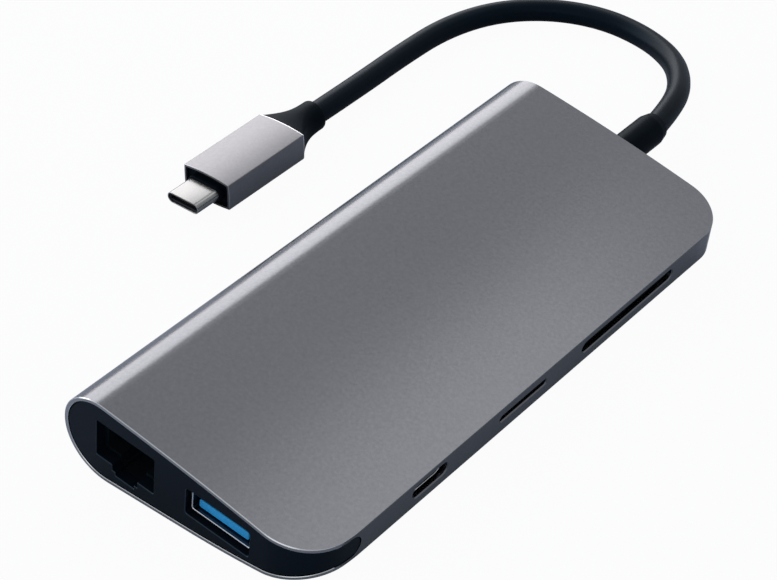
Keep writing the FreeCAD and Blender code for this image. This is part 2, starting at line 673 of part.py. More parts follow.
def usb_a_port(u, prefix, placed):
    """Sunk USB-A receptacle with its tongue in the lower half, mouth towards -Y."""
    middle = V(u, -MOUTH_Y, usb_middle_w())
    outer = rounded_bar(USB_WIDTH, USB_HEIGHT, USB_R, middle, ACROSS, ALONG * USB_DEPTH)
    hollow_width = USB_WIDTH - 2 * USB_SHELL_T
    hollow_height = USB_HEIGHT - 2 * USB_SHELL_T
    hollow_r = USB_R - USB_SHELL_T
    hollow = rounded_bar(hollow_width, hollow_height, hollow_r, middle - ALONG, ACROSS,
                         ALONG * (USB_DEPTH + 2))
    shell = outer.cut(hollow)
    base_y = -MOUTH_Y + USB_DEPTH - USB_BASE
    base = rounded_bar(hollow_width, hollow_height, hollow_r, V(u, base_y, usb_middle_w()), ACROSS,
                       ALONG * USB_BASE)
    tongue_top = USB_SHELL_BOTTOM_W + USB_TONGUE_UP + USB_TONGUE_T
    tip_y = -MOUTH_Y + USB_TONGUE_BACK
    tongue = block(u - USB_TONGUE_WIDTH / 2, u + USB_TONGUE_WIDTH / 2, tip_y, base_y + 1,
                   tongue_top - USB_TONGUE_T, tongue_top)
    contacts = []
    back_y = -MOUTH_Y + USB_DEPTH
    contact_top = tongue_top + USB_CONTACT_PROUD
    contact_low = contact_top - USB_CONTACT_T
    half = USB_MAIN_PIN_WIDTH / 2
    for offset in USB_MAIN_PINS:
        side0, side1 = u + offset - half, u + offset + half
        contacts.append(one([
            block(side0, side1, tip_y + USB_MAIN_PIN_BACK, back_y + USB_CONTACT_T, contact_low, contact_top),
            block(side0, side1, back_y, back_y + USB_CONTACT_T, BOARD_TOP_W, contact_top),
            block(side0, side1, back_y, back_y + USB_TAIL, BOARD_TOP_W, BOARD_TOP_W + USB_CONTACT_T),
        ]))
    half = USB_FAST_PIN_WIDTH / 2
    start, end = USB_FAST_PIN_SPAN
    for offset in USB_FAST_PINS:
        contacts.append(block(u + offset - half, u + offset + half, tip_y + start, tip_y + end,
                              contact_low, contact_top))
    plastic = one([base, tongue]).cut(contacts)
    return {
        prefix + "_shell": placed(lean(shell)),
        prefix + "_tongue": placed(lean(plastic)),
        prefix + "_contacts": placed(lean(Part.makeCompound(contacts))),
    }


# ================================================================ HDMI port

def hdmi_outline(grow, y0, y1):
    """D-shaped prism of the HDMI shell, grown by grow all round."""
    half = HDMI_WIDTH / 2 + grow
    foot = HDMI_FOOT_WIDTH / 2 + grow
    low = BOARD_TOP_W - grow
    top = BOARD_TOP_W + HDMI_HEIGHT + grow
    knee = BOARD_TOP_W + HDMI_SHOULDER
    points = [V(HDMI_U + s * a, y0, w) for s, a, w in (
        (-1, foot, low), (1, foot, low), (1, half, knee), (1, half, top), (-1, half, top), (-1, half, knee))]
    return outline_prism(points, ALONG * (y1 - y0))


def hdmi_port():
    back = MOUTH_Y - HDMI_DEPTH
    shell = hdmi_outline(0, back, MOUTH_Y).cut(hdmi_outline(-HDMI_SHELL_T, back - 1, MOUTH_Y + 1))
    base = hdmi_outline(-HDMI_SHELL_T, back, back + HDMI_BASE)
    middle = BOARD_TOP_W + HDMI_HEIGHT / 2 + HDMI_SHELL_T
    half = HDMI_TONGUE_WIDTH / 2
    tongue = block(HDMI_U - half, HDMI_U + half, back + HDMI_BASE - 1, MOUTH_Y - HDMI_TONGUE_BACK,
                   middle - HDMI_TONGUE_T / 2, middle + HDMI_TONGUE_T / 2)
    contacts = []
    for index in range(HDMI_PINS):
        u = HDMI_U + (index - (HDMI_PINS - 1) / 2) * HDMI_PIN_PITCH
        for face in (-1, 1):
            w = middle + face * HDMI_TONGUE_T / 2
            contacts.append(block(u - 0.25, u + 0.25, back + HDMI_BASE, MOUTH_Y - HDMI_TONGUE_BACK - 0.6,
                                  w - 0.08, w + 0.08))
    plastic = one([base, tongue]).cut(contacts)
    return {
        "hdmi_shell": lean(shell),
        "hdmi_tongue": lean(plastic),
        "hdmi_contacts": lean(Part.makeCompound(contacts)),
    }


# ================================================================ USB-C port on the thin side

def usb_c_port():
    mouth = V(SOCKET_U, USBC_Y, PORT_W)
    inward = ACROSS * -1
    outer = rounded_bar(USBC_WIDTH, USBC_HEIGHT, USBC_HEIGHT / 2, mouth, ALONG, inward * USBC_DEPTH)
    hollow_height = USBC_HEIGHT - 2 * USBC_SHELL_T
    hollow_width = USBC_WIDTH - 2 * USBC_SHELL_T
    hollow = rounded_bar(hollow_width, hollow_height, hollow_height / 2, mouth + ACROSS, ALONG,
                         inward * (USBC_DEPTH + 2))
    shell = outer.cut(hollow)
    back_u = SOCKET_U - USBC_DEPTH
    base = rounded_bar(hollow_width, hollow_height, hollow_height / 2, V(back_u, USBC_Y, PORT_W), ALONG,
                       ACROSS * USBC_BASE)
    half = USBC_TONGUE_WIDTH / 2
    tongue = block(back_u + USBC_BASE - 1, SOCKET_U - USBC_TONGUE_BACK, USBC_Y - half, USBC_Y + half,
                   PORT_W - USBC_TONGUE_T / 2, PORT_W + USBC_TONGUE_T / 2)
    contacts = []
    for index in range(USBC_PINS):
        y = USBC_Y + (index - (USBC_PINS - 1) / 2) * USBC_PIN_PITCH
        for face in (-1, 1):
            w = PORT_W + face * USBC_TONGUE_T / 2
            contacts.append(block(back_u + USBC_BASE, SOCKET_U - USBC_TONGUE_BACK - 0.4, y - 0.13, y + 0.13,
                                  w - 0.06, w + 0.06))
    plastic = one([base, tongue]).cut(contacts)
    return {
        "usb_c_port_shell": lean(shell),
        "usb_c_port_tongue": lean(plastic),
        "usb_c_port_contacts": lean(Part.makeCompound(contacts)),
    }


# ================================================================ card sockets

def coil_spring(radius, length, start):
    """Compression spring of square wire from start towards -u."""
    half = SPRING_WIRE / 2
    pitch = (length - SPRING_WIRE) / SPRING_TURNS
    helix = Part.makeHelix(pitch, length - SPRING_WIRE, radius)
    corners = [V(radius + x, 0, z) for x, z in ((-half, -half), (half, -half), (half, half), (-half, half))]
    section = Part.makePolygon(corners + corners[:1])
    coil = Part.Wire(helix.Edges).makePipeShell([section], True, True)
    coil.translate(UP * half)
    coil.rotate(V(0, 0, 0), ALONG, -90)
    coil.translate(start)
    return coil


def card_socket(prefix, y, socket, bay, travel, pins, pitch):
    """Push-in, push-out card socket. The slider rides in a channel at the +Y side: a card pushes
    it inwards against its spring. The card bay is centred on the port line."""
    length, depth = socket
    bay_width, bay_height = bay
    floor_w = PORT_W - bay_height / 2
    roof_w = PORT_W + bay_height / 2
    back_u = SOCKET_U - depth
    y0 = y - length / 2 + COVER_T
    y1 = y + length / 2 - COVER_T
    bay_y0 = y0 + RAIL
    bay_y1 = bay_y0 + bay_width
    wall_y = bay_y1 + SLIDER_GAP
    channel_y1 = wall_y + SLIDER_WIDTH + SLIDER_GAP
    bay_back = back_u + SOCKET_BACK
    base = block(back_u, SOCKET_U, y0, y1, BOARD_TOP_W, roof_w)
    base = base.cut(block(bay_back, SOCKET_U + 1, bay_y0, channel_y1, floor_w, roof_w + 1))
    # a stop in the channel's mouth keeps the slider in
    slider_u1 = SOCKET_U - SLIDER_FRONT
    stop = block(slider_u1, SOCKET_U, wall_y, channel_y1, floor_w, roof_w)
    base = one([base, stop])
    slider_w0 = floor_w + SLIDER_GAP
    slider_w1 = roof_w - SLIDER_GAP
    bar = block(slider_u1 - SLIDER_LENGTH, slider_u1, wall_y, wall_y + SLIDER_WIDTH, slider_w0, slider_w1)
    hook = block(slider_u1 - SLIDER_LENGTH, slider_u1 - SLIDER_LENGTH + 1, wall_y - SLIDER_HOOK, wall_y + 0.1,
                 slider_w0, slider_w1)
    slider = one([bar, hook])
    spring_length = slider_u1 - SLIDER_LENGTH - bay_back
    spring_r = min(SLIDER_WIDTH, bay_height) / 2 - SPRING_WIRE
    spring = coil_spring(spring_r, spring_length,
                         V(slider_u1 - SLIDER_LENGTH, wall_y + SLIDER_WIDTH / 2, PORT_W))
    # contacts: leaf strips that rise from the floor towards the back of the bay
    contacts = []
    for index in range(pins):
        middle = (bay_y0 + bay_y1) / 2 + (index - (pins - 1) / 2) * pitch
        leaf = block(bay_back - SOCKET_BACK - 0.8, bay_back + depth * 0.35, middle - 0.3, middle + 0.3,
                     floor_w - 0.1, floor_w + 0.12)
        tail = block(bay_back - SOCKET_BACK - 0.8, bay_back - SOCKET_BACK, middle - 0.3, middle + 0.3,
                     BOARD_TOP_W, floor_w + 0.12)
        contacts.append(one([leaf, tail]))
    base = base.cut(contacts)
    cover = block(back_u, SOCKET_U, y0 - COVER_T, y1 + COVER_T, BOARD_TOP_W, roof_w + COVER_T)
    cover = cover.cut(block(back_u - 1, SOCKET_U + 1, y0, y1, BOARD_TOP_W - 1, roof_w))
    return {
        prefix + "_socket_base": lean(base),
        prefix + "_socket_cover": lean(cover),
        prefix + "_contacts": lean(Part.makeCompound(contacts)),
        prefix + "_slider": lean(slider),
        prefix + "_spring": lean(spring),
    }


# ================================================================ board, chips, tray, screws

def main_board():
    edge = CAP_INSET + CAP_T + BOARD_GAP
    blank = lean(block(BOARD_LEFT_U, SIDE_U, -BOARD_HALF, BOARD_HALF, BOARD_BOTTOM_W, BOARD_TOP_W))
    blank = blank.common(plan_prism(edge))
    jack_right = JACK_U + JACK_BODY_WIDTH / 2 + JACK_SHIELD_T + CUT_GAP
    usb_half = USB_WIDTH / 2 + CUT_GAP
    usb_back = USB_BACK_Y - CUT_GAP
    low, top = BOARD_BOTTOM_W - 1, BOARD_TOP_W + 1
    flange_half = GLAND_FLANGE_R + CUT_GAP
    flange_y = CAP_BACK_Y - GLAND_FLANGE_T - CUT_GAP
    cuts = [
        block(BOARD_LEFT_U - 1, jack_right, -END_Y, JACK_BACK_Y + CUT_GAP, low, top),
        block(USB_FRONT_U - usb_half, USB_FRONT_U + usb_half, -END_Y, -usb_back, low, top),
        block(USB_REAR_U - usb_half, USB_REAR_U + usb_half, usb_back, END_Y, low, top),
        block(GLAND_U - flange_half, GLAND_U + flange_half, flange_y, END_Y, low, top),
    ]
    for u, y in SCREW_PLACES:
        cuts.append(Part.makeCylinder(SCREW_R + SCREW_CLEAR, BOARD_T + 2, V(u, y, BOARD_BOTTOM_W - 1), UP))
    return blank.cut([lean(cut) for cut in cuts])


def chips():
    made = {}
    for name, (size_u, size_y, height) in CHIP_SIZES.items():
        u, y = CHIP_PLACES[name]
        body = centred_block(u, y, BOARD_TOP_W, size_u, size_y, height)
        dimple = V(u - size_u / 2 + 3 * PIN_ONE_R, y - size_y / 2 + 3 * PIN_ONE_R,
                   BOARD_TOP_W + height - PIN_ONE_DEEP)
        made[name] = lean(body.cut(Part.makeCylinder(PIN_ONE_R, 1, dimple, UP)))
    return made


def lan_transformer():
    u, y = TRANSFORMER_PLACE
    size_u, size_y, height = TRANSFORMER_SIZE
    foot = 0.3
    solids = [centred_block(u, y, BOARD_TOP_W + foot, size_u, size_y, height)]
    for index in range(TRANSFORMER_LEADS):
        lead_u = u + (index - (TRANSFORMER_LEADS - 1) / 2) * TRANSFORMER_LEAD_PITCH
        for side in (-1, 1):
            lead_y = y + side * (size_y / 2 + 0.5)
            solids.append(centred_block(lead_u, lead_y, BOARD_TOP_W, 0.5, 1.0, foot + 0.4))
    return lean(Part.makeCompound(solids))


def board_group(places, size):
    return lean(Part.makeCompound([centred_block(u, y, BOARD_TOP_W, *size) for u, y in places]))


def capacitors():
    places = []
    for (u, y), count in zip(CAPACITOR_ROWS, CAPACITOR_COUNTS):
        places += [(u, y + (index - (count - 1) / 2) * CAPACITOR_PITCH) for index in range(count)]
    return board_group(places, CAPACITOR_SIZE)


def inner_tray():
    """Plastic carrier between the sleeve's floor and the board, with ribs and screw bosses."""
    y0, y1 = TRAY_ENDS
    rim_w = BOARD_BOTTOM_W - TRAY_RIM_DROP
    room = section_prism(WALL + TRAY_GAP, y0, y1)
    limit = lean(block(BOARD_LEFT_U, TRAY_RIGHT_U, y0, y1, -WIDTH / 2, rim_w))
    hollow = section_prism(WALL + TRAY_GAP + TRAY_WALL, y0 + TRAY_WALL, y1 - TRAY_WALL)
    pocket = lean(block(BOARD_LEFT_U + TRAY_WALL, TRAY_RIGHT_U - TRAY_WALL, y0, y1, -WIDTH / 2, rim_w + 1))
    tray = room.common(limit).cut(hollow.common(pocket))
    extras = []
    for rib in TRAY_RIBS:
        extras.append(lean(block(BOARD_LEFT_U, TRAY_RIGHT_U, rib, rib + TRAY_WALL, -WIDTH / 2, rim_w)))
    for u, y in SCREW_PLACES:
        extras.append(lean(Part.makeCylinder(BOSS_R, WIDTH / 2 + BOARD_BOTTOM_W, V(u, y, -WIDTH / 2), UP)))
    tray = one([tray] + [extra.common(room) for extra in extras])
    pilots = []
    deep = SCREW_LENGTH - BOARD_T + 0.3
    for u, y in SCREW_PLACES:
        pilots.append(lean(Part.makeCylinder(SCREW_R + PILOT_CLEAR, deep + 1, V(u, y, BOARD_BOTTOM_W - deep), UP)))
    return tray.cut(pilots)


def board_screws():
    screws = []
    for u, y in SCREW_PLACES:
        shank = Part.makeCylinder(SCREW_R, SCREW_LENGTH, V(u, y, BOARD_TOP_W - SCREW_LENGTH), UP)
        head = Part.makeCylinder(SCREW_HEAD_R, SCREW_HEAD_T, V(u, y, BOARD_TOP_W), UP)
        top = BOARD_TOP_W + SCREW_HEAD_T
        recess = [
            centred_block(u, y, top - RECESS_DEEP, 2.2, RECESS_WIDTH, 1),
            centred_block(u, y, top - RECESS_DEEP, RECESS_WIDTH, 2.2, 1),
        ]
        screws.append(one([shank, head]).cut(recess))
    return lean(Part.makeCompound(screws))


# ================================================================ cable end

def cable_gland():
    flange_y = CAP_BACK_Y - GLAND_FLANGE_T
    tip_y = END_Y + GLAND_LENGTH
    body = Part.makeCylinder(GLAND_R, tip_y - flange_y, V(GLAND_X, flange_y, GLAND_Z), ALONG)
    flange = Part.makeCylinder(GLAND_FLANGE_R, GLAND_FLANGE_T, V(GLAND_X, flange_y, GLAND_Z), ALONG)
    tip = Part.makeCone(GLAND_R, GLAND_TIP_R, GLAND_TAPER, V(GLAND_X, tip_y, GLAND_Z), ALONG)
    return one([body, flange, tip])


def cable_leads():
    flange_y = CAP_BACK_Y - GLAND_FLANGE_T
    leads = []
    for row in LEAD_ROWS:
        for column in LEAD_COLUMNS:
            start = V(GLAND_U + column, HEADER_Y, BOARD_TOP_W + row)
            leads.append(Part.makeCylinder(LEAD_R, flange_y - HEADER_Y, start, ALONG))
    return lean(Part.makeCompound(leads))


def cable_header():
    size_u, size_y, height = HEADER_SIZE
    return lean(centred_block(GLAND_U, HEADER_Y - size_y / 2, BOARD_TOP_W, size_u, size_y, height))


def cable_tube():
    """Straight runs joined by tangent arcs; prints each bend's radius and the tube's volume."""
    points = [V(*p) for p in ROUTE]
    edges = []
    start = points[0]
    for before, corner, after in zip(points, points[1:], points[2:]):
        back = before - corner
        ahead = after - corner
        cut = CABLE_BEND_SHARE * min(back.Length, ahead.Length)
        back.normalize()
        ahead.normalize()
        turn = math.pi - back.getAngle(ahead)
        radius = cut / math.tan(turn / 2)
        enter = corner + back * cut
        leave = corner + ahead * cut
        bisector = back + ahead
        bisector.normalize()
        middle = corner + bisector * (radius / math.cos(turn / 2) - radius)
        edges.append(Part.LineSegment(start, enter).toShape())
        edges.append(Part.Arc(enter, middle, leave).toShape())
        start = leave
        print("cable bend: turn %.1f deg, radius %.1f mm" % (math.degrees(turn), radius))
    edges.append(Part.LineSegment(start, points[-1]).toShape())
    path = Part.Wire(edges)
    ring = Part.Wire(Part.Circle(points[0], points[1] - points[0], CABLE_R).toShape())
    tube = path.makePipeShell([ring], True, True)
    expected = math.pi * CABLE_R ** 2 * path.Length
    print("cable length %.1f mm, volume %.1f of %.1f mm3" % (path.Length, tube.Volume, expected))
    return tube


# ================================================================ plug

def arch_radius(half_chord, rise):
    return (half_chord ** 2 + rise ** 2) / (2 * rise)


PLUG_TOP_R = arch_radius(PLUG_WIDTH / 2 - PLUG_SIDE_BULGE, (PLUG_THICK - PLUG_EDGE) / 2)
PLUG_SIDE_R = arch_radius(PLUG_EDGE / 2, PLUG_SIDE_BULGE)


def barrel_ring(y, half_w, half_h, top_r, side_r, corner_r):
    """Ring of four arched sides; each corner is an arc tangent to the two sides beside it."""
    low = half_h - top_r
    left = half_w - side_r
    reach_top = top_r - corner_r
    reach_side = side_r - corner_r
    apart = math.hypot(low, left)
    along = (reach_top ** 2 - reach_side ** 2 + apart ** 2) / (2 * apart)
    off = math.sqrt(reach_top ** 2 - along ** 2)
    corner_x = (along * left + off * -low) / apart
    corner_z = low + (along * -low + off * -left) / apart
    top_x = corner_x * top_r / reach_top
    top_z = low + (corner_z - low) * top_r / reach_top
    side_x = left + (corner_x - left) * side_r / reach_side
    side_z = corner_z * side_r / reach_side
    slope = (math.atan2(top_z - corner_z, top_x - corner_x) + math.atan2(side_z - corner_z, side_x - corner_x)) / 2
    knee_x = corner_x + corner_r * math.cos(slope)
    knee_z = corner_z + corner_r * math.sin(slope)

    def at(x, z):
        return V(PLUG_X + x, y, PLUG_Z + z)

    runs = []
    for x_sign, z_sign in ((1, 1), (1, -1), (-1, -1), (-1, 1)):
        ends = [at(x_sign * top_x, z_sign * top_z), at(x_sign * side_x, z_sign * side_z)]
        flat = [at(0, z_sign * half_h), at(x_sign * half_w, 0)]
        if x_sign * z_sign < 0:
            ends.reverse()
            flat.reverse()
        runs.append((ends[0], at(x_sign * knee_x, z_sign * knee_z), ends[1], flat[1]))
    edges = []
    for index, (start, knee, end, middle) in enumerate(runs):
        following = runs[(index + 1) % 4][0]
        edges.append(Part.Arc(start, knee, end).toShape())
        edges.append(Part.Arc(end, middle, following).toShape())
    return Part.Wire(edges)


def plug_slab(inset, corner_r, y0, y1):
    """The sleeve's section drawn in by inset, from y0 to y1."""
    ring = barrel_ring(y0, PLUG_WIDTH / 2 - inset, PLUG_THICK / 2 - inset, PLUG_TOP_R - inset,
                       PLUG_SIDE_R - inset, corner_r)
    return Part.Face(ring).extrude(ALONG * (y1 - y0))


def plug_bar(width, height, radius, y0, y1):
    return rounded_bar(width, height, radius, V(PLUG_X, y0, PLUG_Z), ACROSS, ALONG * (y1 - y0))


def plug_core(y0, y1):
    return plug_slab(PLUG_WALL + PLUG_FIT, PLUG_BORE_R, y0, y1)


def strain_relief():
    """Moulded relief: a block inside the sleeve, a flared root and a round neck."""
    rings = [barrel_ring(PLUG_BACK_Y + behind, *sizes) for behind, *sizes in RELIEF_RINGS]
    flare = Part.makeLoft(rings, True, True)
    return one([plug_core(PLUG_BACK_Y - RELIEF_IN, PLUG_BACK_Y), flare])


def plug_pieces():
    face_y = PLUG_MOUTH_Y + PLUG_FACE_BACK
    insert_end = face_y + PLUG_INSERT
    sleeve = plug_slab(0, PLUG_CORNER_R, PLUG_MOUTH_Y, PLUG_BACK_Y)
    sleeve = sleeve.cut(plug_slab(PLUG_WALL, PLUG_BORE_R, PLUG_MOUTH_Y - 1, PLUG_BACK_Y + 1))
    tip_y0 = PLUG_MOUTH_Y - TIP_OUT
    tip_y1 = PLUG_MOUTH_Y + TIP_IN
    tip = plug_bar(TIP_WIDTH, TIP_HEIGHT, TIP_HEIGHT / 2, tip_y0, tip_y1)
    inner_h = TIP_HEIGHT - 2 * TIP_WALL
    inner_w = TIP_WIDTH - 2 * TIP_WALL
    hollow = plug_bar(inner_w, inner_h, inner_h / 2, tip_y0 - 1, tip_y1 + 1)
    shell = tip.cut(hollow)
    collar = plug_bar(COLLAR_WIDTH, COLLAR_HEIGHT, COLLAR_HEIGHT / 2, face_y - COLLAR_LENGTH, face_y)
    insert = one([plug_core(face_y, insert_end), collar])
    insert = insert.cut(plug_bar(TIP_WIDTH, TIP_HEIGHT, TIP_HEIGHT / 2, tip_y0, tip_y1))
    mouth_w, mouth_h = CARRIER_MOUTH
    mouth_deep = 5.2
    carrier = plug_bar(inner_w, inner_h, inner_h / 2, tip_y0 + 0.35, tip_y1)
    half_w, half_h = mouth_w / 2, mouth_h / 2
    carrier = carrier.cut(block(PLUG_X - half_w, PLUG_X + half_w, tip_y0 - 1, tip_y0 + mouth_deep,
                                PLUG_Z - half_h, PLUG_Z + half_h))
    contacts = []
    for index in range(TIP_PINS):
        x = PLUG_X + (index - (TIP_PINS - 1) / 2) * TIP_PIN_PITCH
        for face in (-1, 1):
            z = PLUG_Z + face * half_h
            contacts.append(block(x - 0.13, x + 0.13, tip_y0 + 1.2, tip_y0 + mouth_deep, z - 0.1, z + 0.1))
    carrier = carrier.cut(contacts)
    board_w, board_t = PLUG_BOARD
    relief_y0 = PLUG_BACK_Y - RELIEF_IN
    board = block(PLUG_X - board_w / 2, PLUG_X + board_w / 2, insert_end, relief_y0,
                  PLUG_Z - board_t / 2, PLUG_Z + board_t / 2)
    return {
        "plug_sleeve": sleeve,
        "plug_insert": insert,
        "plug_shell": shell,
        "plug_contact_carrier": carrier,
        "plug_contacts": Part.makeCompound(contacts),
        "plug_board": board,
        "plug_strain_relief": strain_relief(),
    }


# ================================================================ assembly

def build():
    nodes = {
        "housing_sleeve": housing_sleeve(),
        "front_end_cap": front_end_cap(),
        "rear_end_cap": rear_end_cap(),
        "inner_tray": inner_tray(),
        "main_board": main_board(),
        "board_screws": board_screws(),
        "lan_transformer": lan_transformer(),
        "clock_crystals": board_group(CRYSTALS, CRYSTAL_SIZE),
        "power_inductors": board_group(INDUCTORS, INDUCTOR_SIZE),
        "capacitors": capacitors(),
        "cable_gland": cable_gland(),
        "cable_leads": cable_leads(),
        "cable_header": cable_header(),
        "cable": cable_tube(),
    }
    nodes.update(chips())
    nodes.update(ethernet_jack())
    nodes.update(usb_a_port(USB_FRONT_U, "front_usb", lambda shape: shape))
    nodes.update(usb_a_port(USB_REAR_U, "rear_usb", to_rear))
    nodes.update(hdmi_port())
    nodes.update(usb_c_port())
    nodes.update(card_socket("microsd", MICROSD_Y, MICROSD_SOCKET, MICROSD_BAY, MICROSD_TRAVEL,
                             MICROSD_PINS, MICROSD_PIN_PITCH))
    nodes.update(card_socket("sd", SD_Y, SD_SOCKET, SD_BAY, SD_TRAVEL, SD_PINS, SD_PIN_PITCH))
    nodes.update(plug_pieces())
    return nodes


os.makedirs("parts", exist_ok=True)
for node, shape in build().items():
    shape.exportStep("parts/" + node + ".step")
    box = shape.BoundBox
    print("%-24s solids %2d valid %s  X %.2f..%.2f  Y %.2f..%.2f  Z %.2f..%.2f" % (
        node, len(shape.Solids), shape.isValid(), box.XMin, box.XMax, box.YMin, box.YMax, box.ZMin, box.ZMax))
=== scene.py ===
import json
import math

import bmesh
import bpy
import numpy as np
from bpy.props import FloatProperty, FloatVectorProperty, IntProperty, PointerProperty
from mathutils import Matrix, Vector
from mathutils.geometry import delaunay_2d_cdt


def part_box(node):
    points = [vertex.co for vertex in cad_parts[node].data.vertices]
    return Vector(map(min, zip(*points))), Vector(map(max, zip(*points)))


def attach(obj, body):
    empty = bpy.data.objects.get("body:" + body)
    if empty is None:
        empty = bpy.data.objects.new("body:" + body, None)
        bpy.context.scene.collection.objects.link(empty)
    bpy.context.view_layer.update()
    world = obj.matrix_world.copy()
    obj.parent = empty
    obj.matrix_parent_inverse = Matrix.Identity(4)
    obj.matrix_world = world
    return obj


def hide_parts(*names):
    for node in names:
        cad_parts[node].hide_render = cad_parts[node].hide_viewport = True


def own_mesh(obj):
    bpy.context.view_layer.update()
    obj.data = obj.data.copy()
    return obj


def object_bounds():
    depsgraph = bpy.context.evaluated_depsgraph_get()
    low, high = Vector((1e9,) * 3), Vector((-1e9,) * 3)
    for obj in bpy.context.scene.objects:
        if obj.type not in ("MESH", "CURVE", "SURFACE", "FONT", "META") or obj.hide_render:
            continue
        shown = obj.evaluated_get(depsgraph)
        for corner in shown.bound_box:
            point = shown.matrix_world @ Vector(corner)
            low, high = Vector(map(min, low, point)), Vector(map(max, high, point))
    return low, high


bl_info = {
    "name": "Wedge Dock",
    "version": (1, 0, 0),
    "blender": (4, 5, 0),
    "location": "3D View > Sidebar > Wedge Dock",
    "description": "Skins a wedge-section multiport dock: aluminium sleeve, end caps, ports, cable and plug",
    "category": "Add Mesh",
}

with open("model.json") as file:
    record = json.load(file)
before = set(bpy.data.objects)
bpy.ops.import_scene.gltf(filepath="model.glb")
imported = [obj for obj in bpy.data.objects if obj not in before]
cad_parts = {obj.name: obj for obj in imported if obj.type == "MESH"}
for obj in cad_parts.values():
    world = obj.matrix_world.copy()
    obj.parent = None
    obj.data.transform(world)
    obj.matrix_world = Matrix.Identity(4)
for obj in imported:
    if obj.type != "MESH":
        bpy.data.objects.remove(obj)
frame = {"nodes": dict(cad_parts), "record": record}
CAD_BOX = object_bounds()

# Shapes are worked out in millimetres and put into meshes in metres.
MM = 0.001
HUB = "hub"


# ================================================================ places read from the frame

def span(node, axis):
    """Lowest and highest coordinate of a CAD node along an axis, in millimetres."""
    low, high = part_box(node)
    return low[axis] / MM, high[axis] / MM


def middle(node, axis):
    low, high = span(node, axis)
    return (low + high) / 2


END_Y = span("housing_sleeve", 1)[1]

# ================================================================ shape of the dock

TILT = math.radians(6.5)                # lean of the thin side, the board and the ports
TOP_EDGE = np.array([28.0, 8.0])        # upper edge of the thin side
SIDE_FACE = 6.05                        # its height along the lean
WALL = 0.82
EDGE_R = 0.15
LOW_CENTRE = np.array([-18.8, 9.2])     # the spine's lower arc
LOW_R = 9.2
HIGH_CENTRE = np.array([-19.4, 9.4])    # the spine's upper arc
HIGH_R = 8.6
SHOULDER_R = 25.0
CROWN_R = 460.0
SHOULDER_ANGLE = math.radians(82.0)
LAND_X = 0.5                            # where the flat underside ends and the belly arc starts
LEAD_R = 45.0                           # softer arc that leads into each plan corner
CORNER_REACH = 10.5                     # width across the dock that the plan corners take
CAP_INSET = 0.12
CAP_GAP = 0.1
CAP_T = 2.2
ALONG_U = np.array([math.cos(TILT), -math.sin(TILT)])
ALONG_W = np.array([math.sin(TILT), math.cos(TILT)])
SIDE_U = float(TOP_EDGE @ ALONG_U)
LEAD_U = SIDE_U - LEAD_R


class PlanEnd:
    """One end of the plan outline on the thin side: the lead arc, then the corner arc that starts
    turn degrees further round, and the tip of the window where the cap wraps onto the thin side."""

    def __init__(self, side, corner_r, turn, wrap):
        self.side = side
        self.corner_r = corner_r
        self.turn = math.radians(turn)
        self.corner_y = END_Y - corner_r
        self.corner_u = LEAD_U + (LEAD_R - corner_r) * math.cos(self.turn)
        self.lead_y = self.corner_y - (LEAD_R - corner_r) * math.sin(self.turn)
        self.tip_y = END_Y - wrap


FRONT = PlanEnd(-1, 10.35, 6.5, 13.0)
REAR = PlanEnd(1, 9.5, 1.5, 5.9)

PORT_W = float(TOP_EDGE @ ALONG_W) - SIDE_FACE / 2 + 0.41   # line of the thin side's ports
BOARD_W = PORT_W - 1.6                  # upper face of the board
MOUTH_Y = END_Y - CAP_INSET - 0.9       # mouths of the metal shells in the ends
USB_HALF = (6.65, 2.85)
USB_LOW = BOARD_W - 2.0                 # underside of the USB shells
USB_W = USB_LOW + USB_HALF[1]
USB_R = 0.6
USB_T = 0.3
USB_DEPTH = 14.2
USB_PORTS = ((FRONT, "front", 6.55), (REAR, "rear", 10.9))
TONGUE_HALF = (5.55, 0.92)
TONGUE_W = USB_LOW + 0.77 + TONGUE_HALF[1]
TONGUE_BACK = 0.75                      # from the shell's mouth to the tongue
TONGUE_BASE = 3.0                       # from the tongue's end to the shell's back
JACK_U, JACK_W = -14.68, 7.23
VIDEO_U = -14.2
GLAND_X = middle("cable_gland", 0)
GLAND_Z = middle("cable_gland", 2)
SLOTS = ((-31.0, 9.5, 2.8), (-4.6, 13.7, 1.4), (27.8, 29.1, 2.5))   # middle y, length, height


def port_place(u, y, w):
    """Port frame to millimetres in the dock's frame: u and w are turned by the lean about +Y."""
    x = u * math.cos(TILT) + w * math.sin(TILT)
    z = w * math.cos(TILT) - u * math.sin(TILT)
    return np.stack(np.broadcast_arrays(x, y, z), -1)


def side_meet(centre, radius, u, side):
    """Where the line at u meets a circle: the centre plus the run to that line across, and the root
    of radius squared less run squared up (side 1) or down (side -1)."""
    run = u - centre @ ALONG_U
    rise = side * np.sqrt(radius ** 2 - run ** 2)
    return centre + np.multiply.outer(run, ALONG_U) + np.multiply.outer(rise, ALONG_W)


def direction(vector):
    """Angle of a vector from +x, the arc tangent of its parts."""
    return math.atan2(vector[1], vector[0])


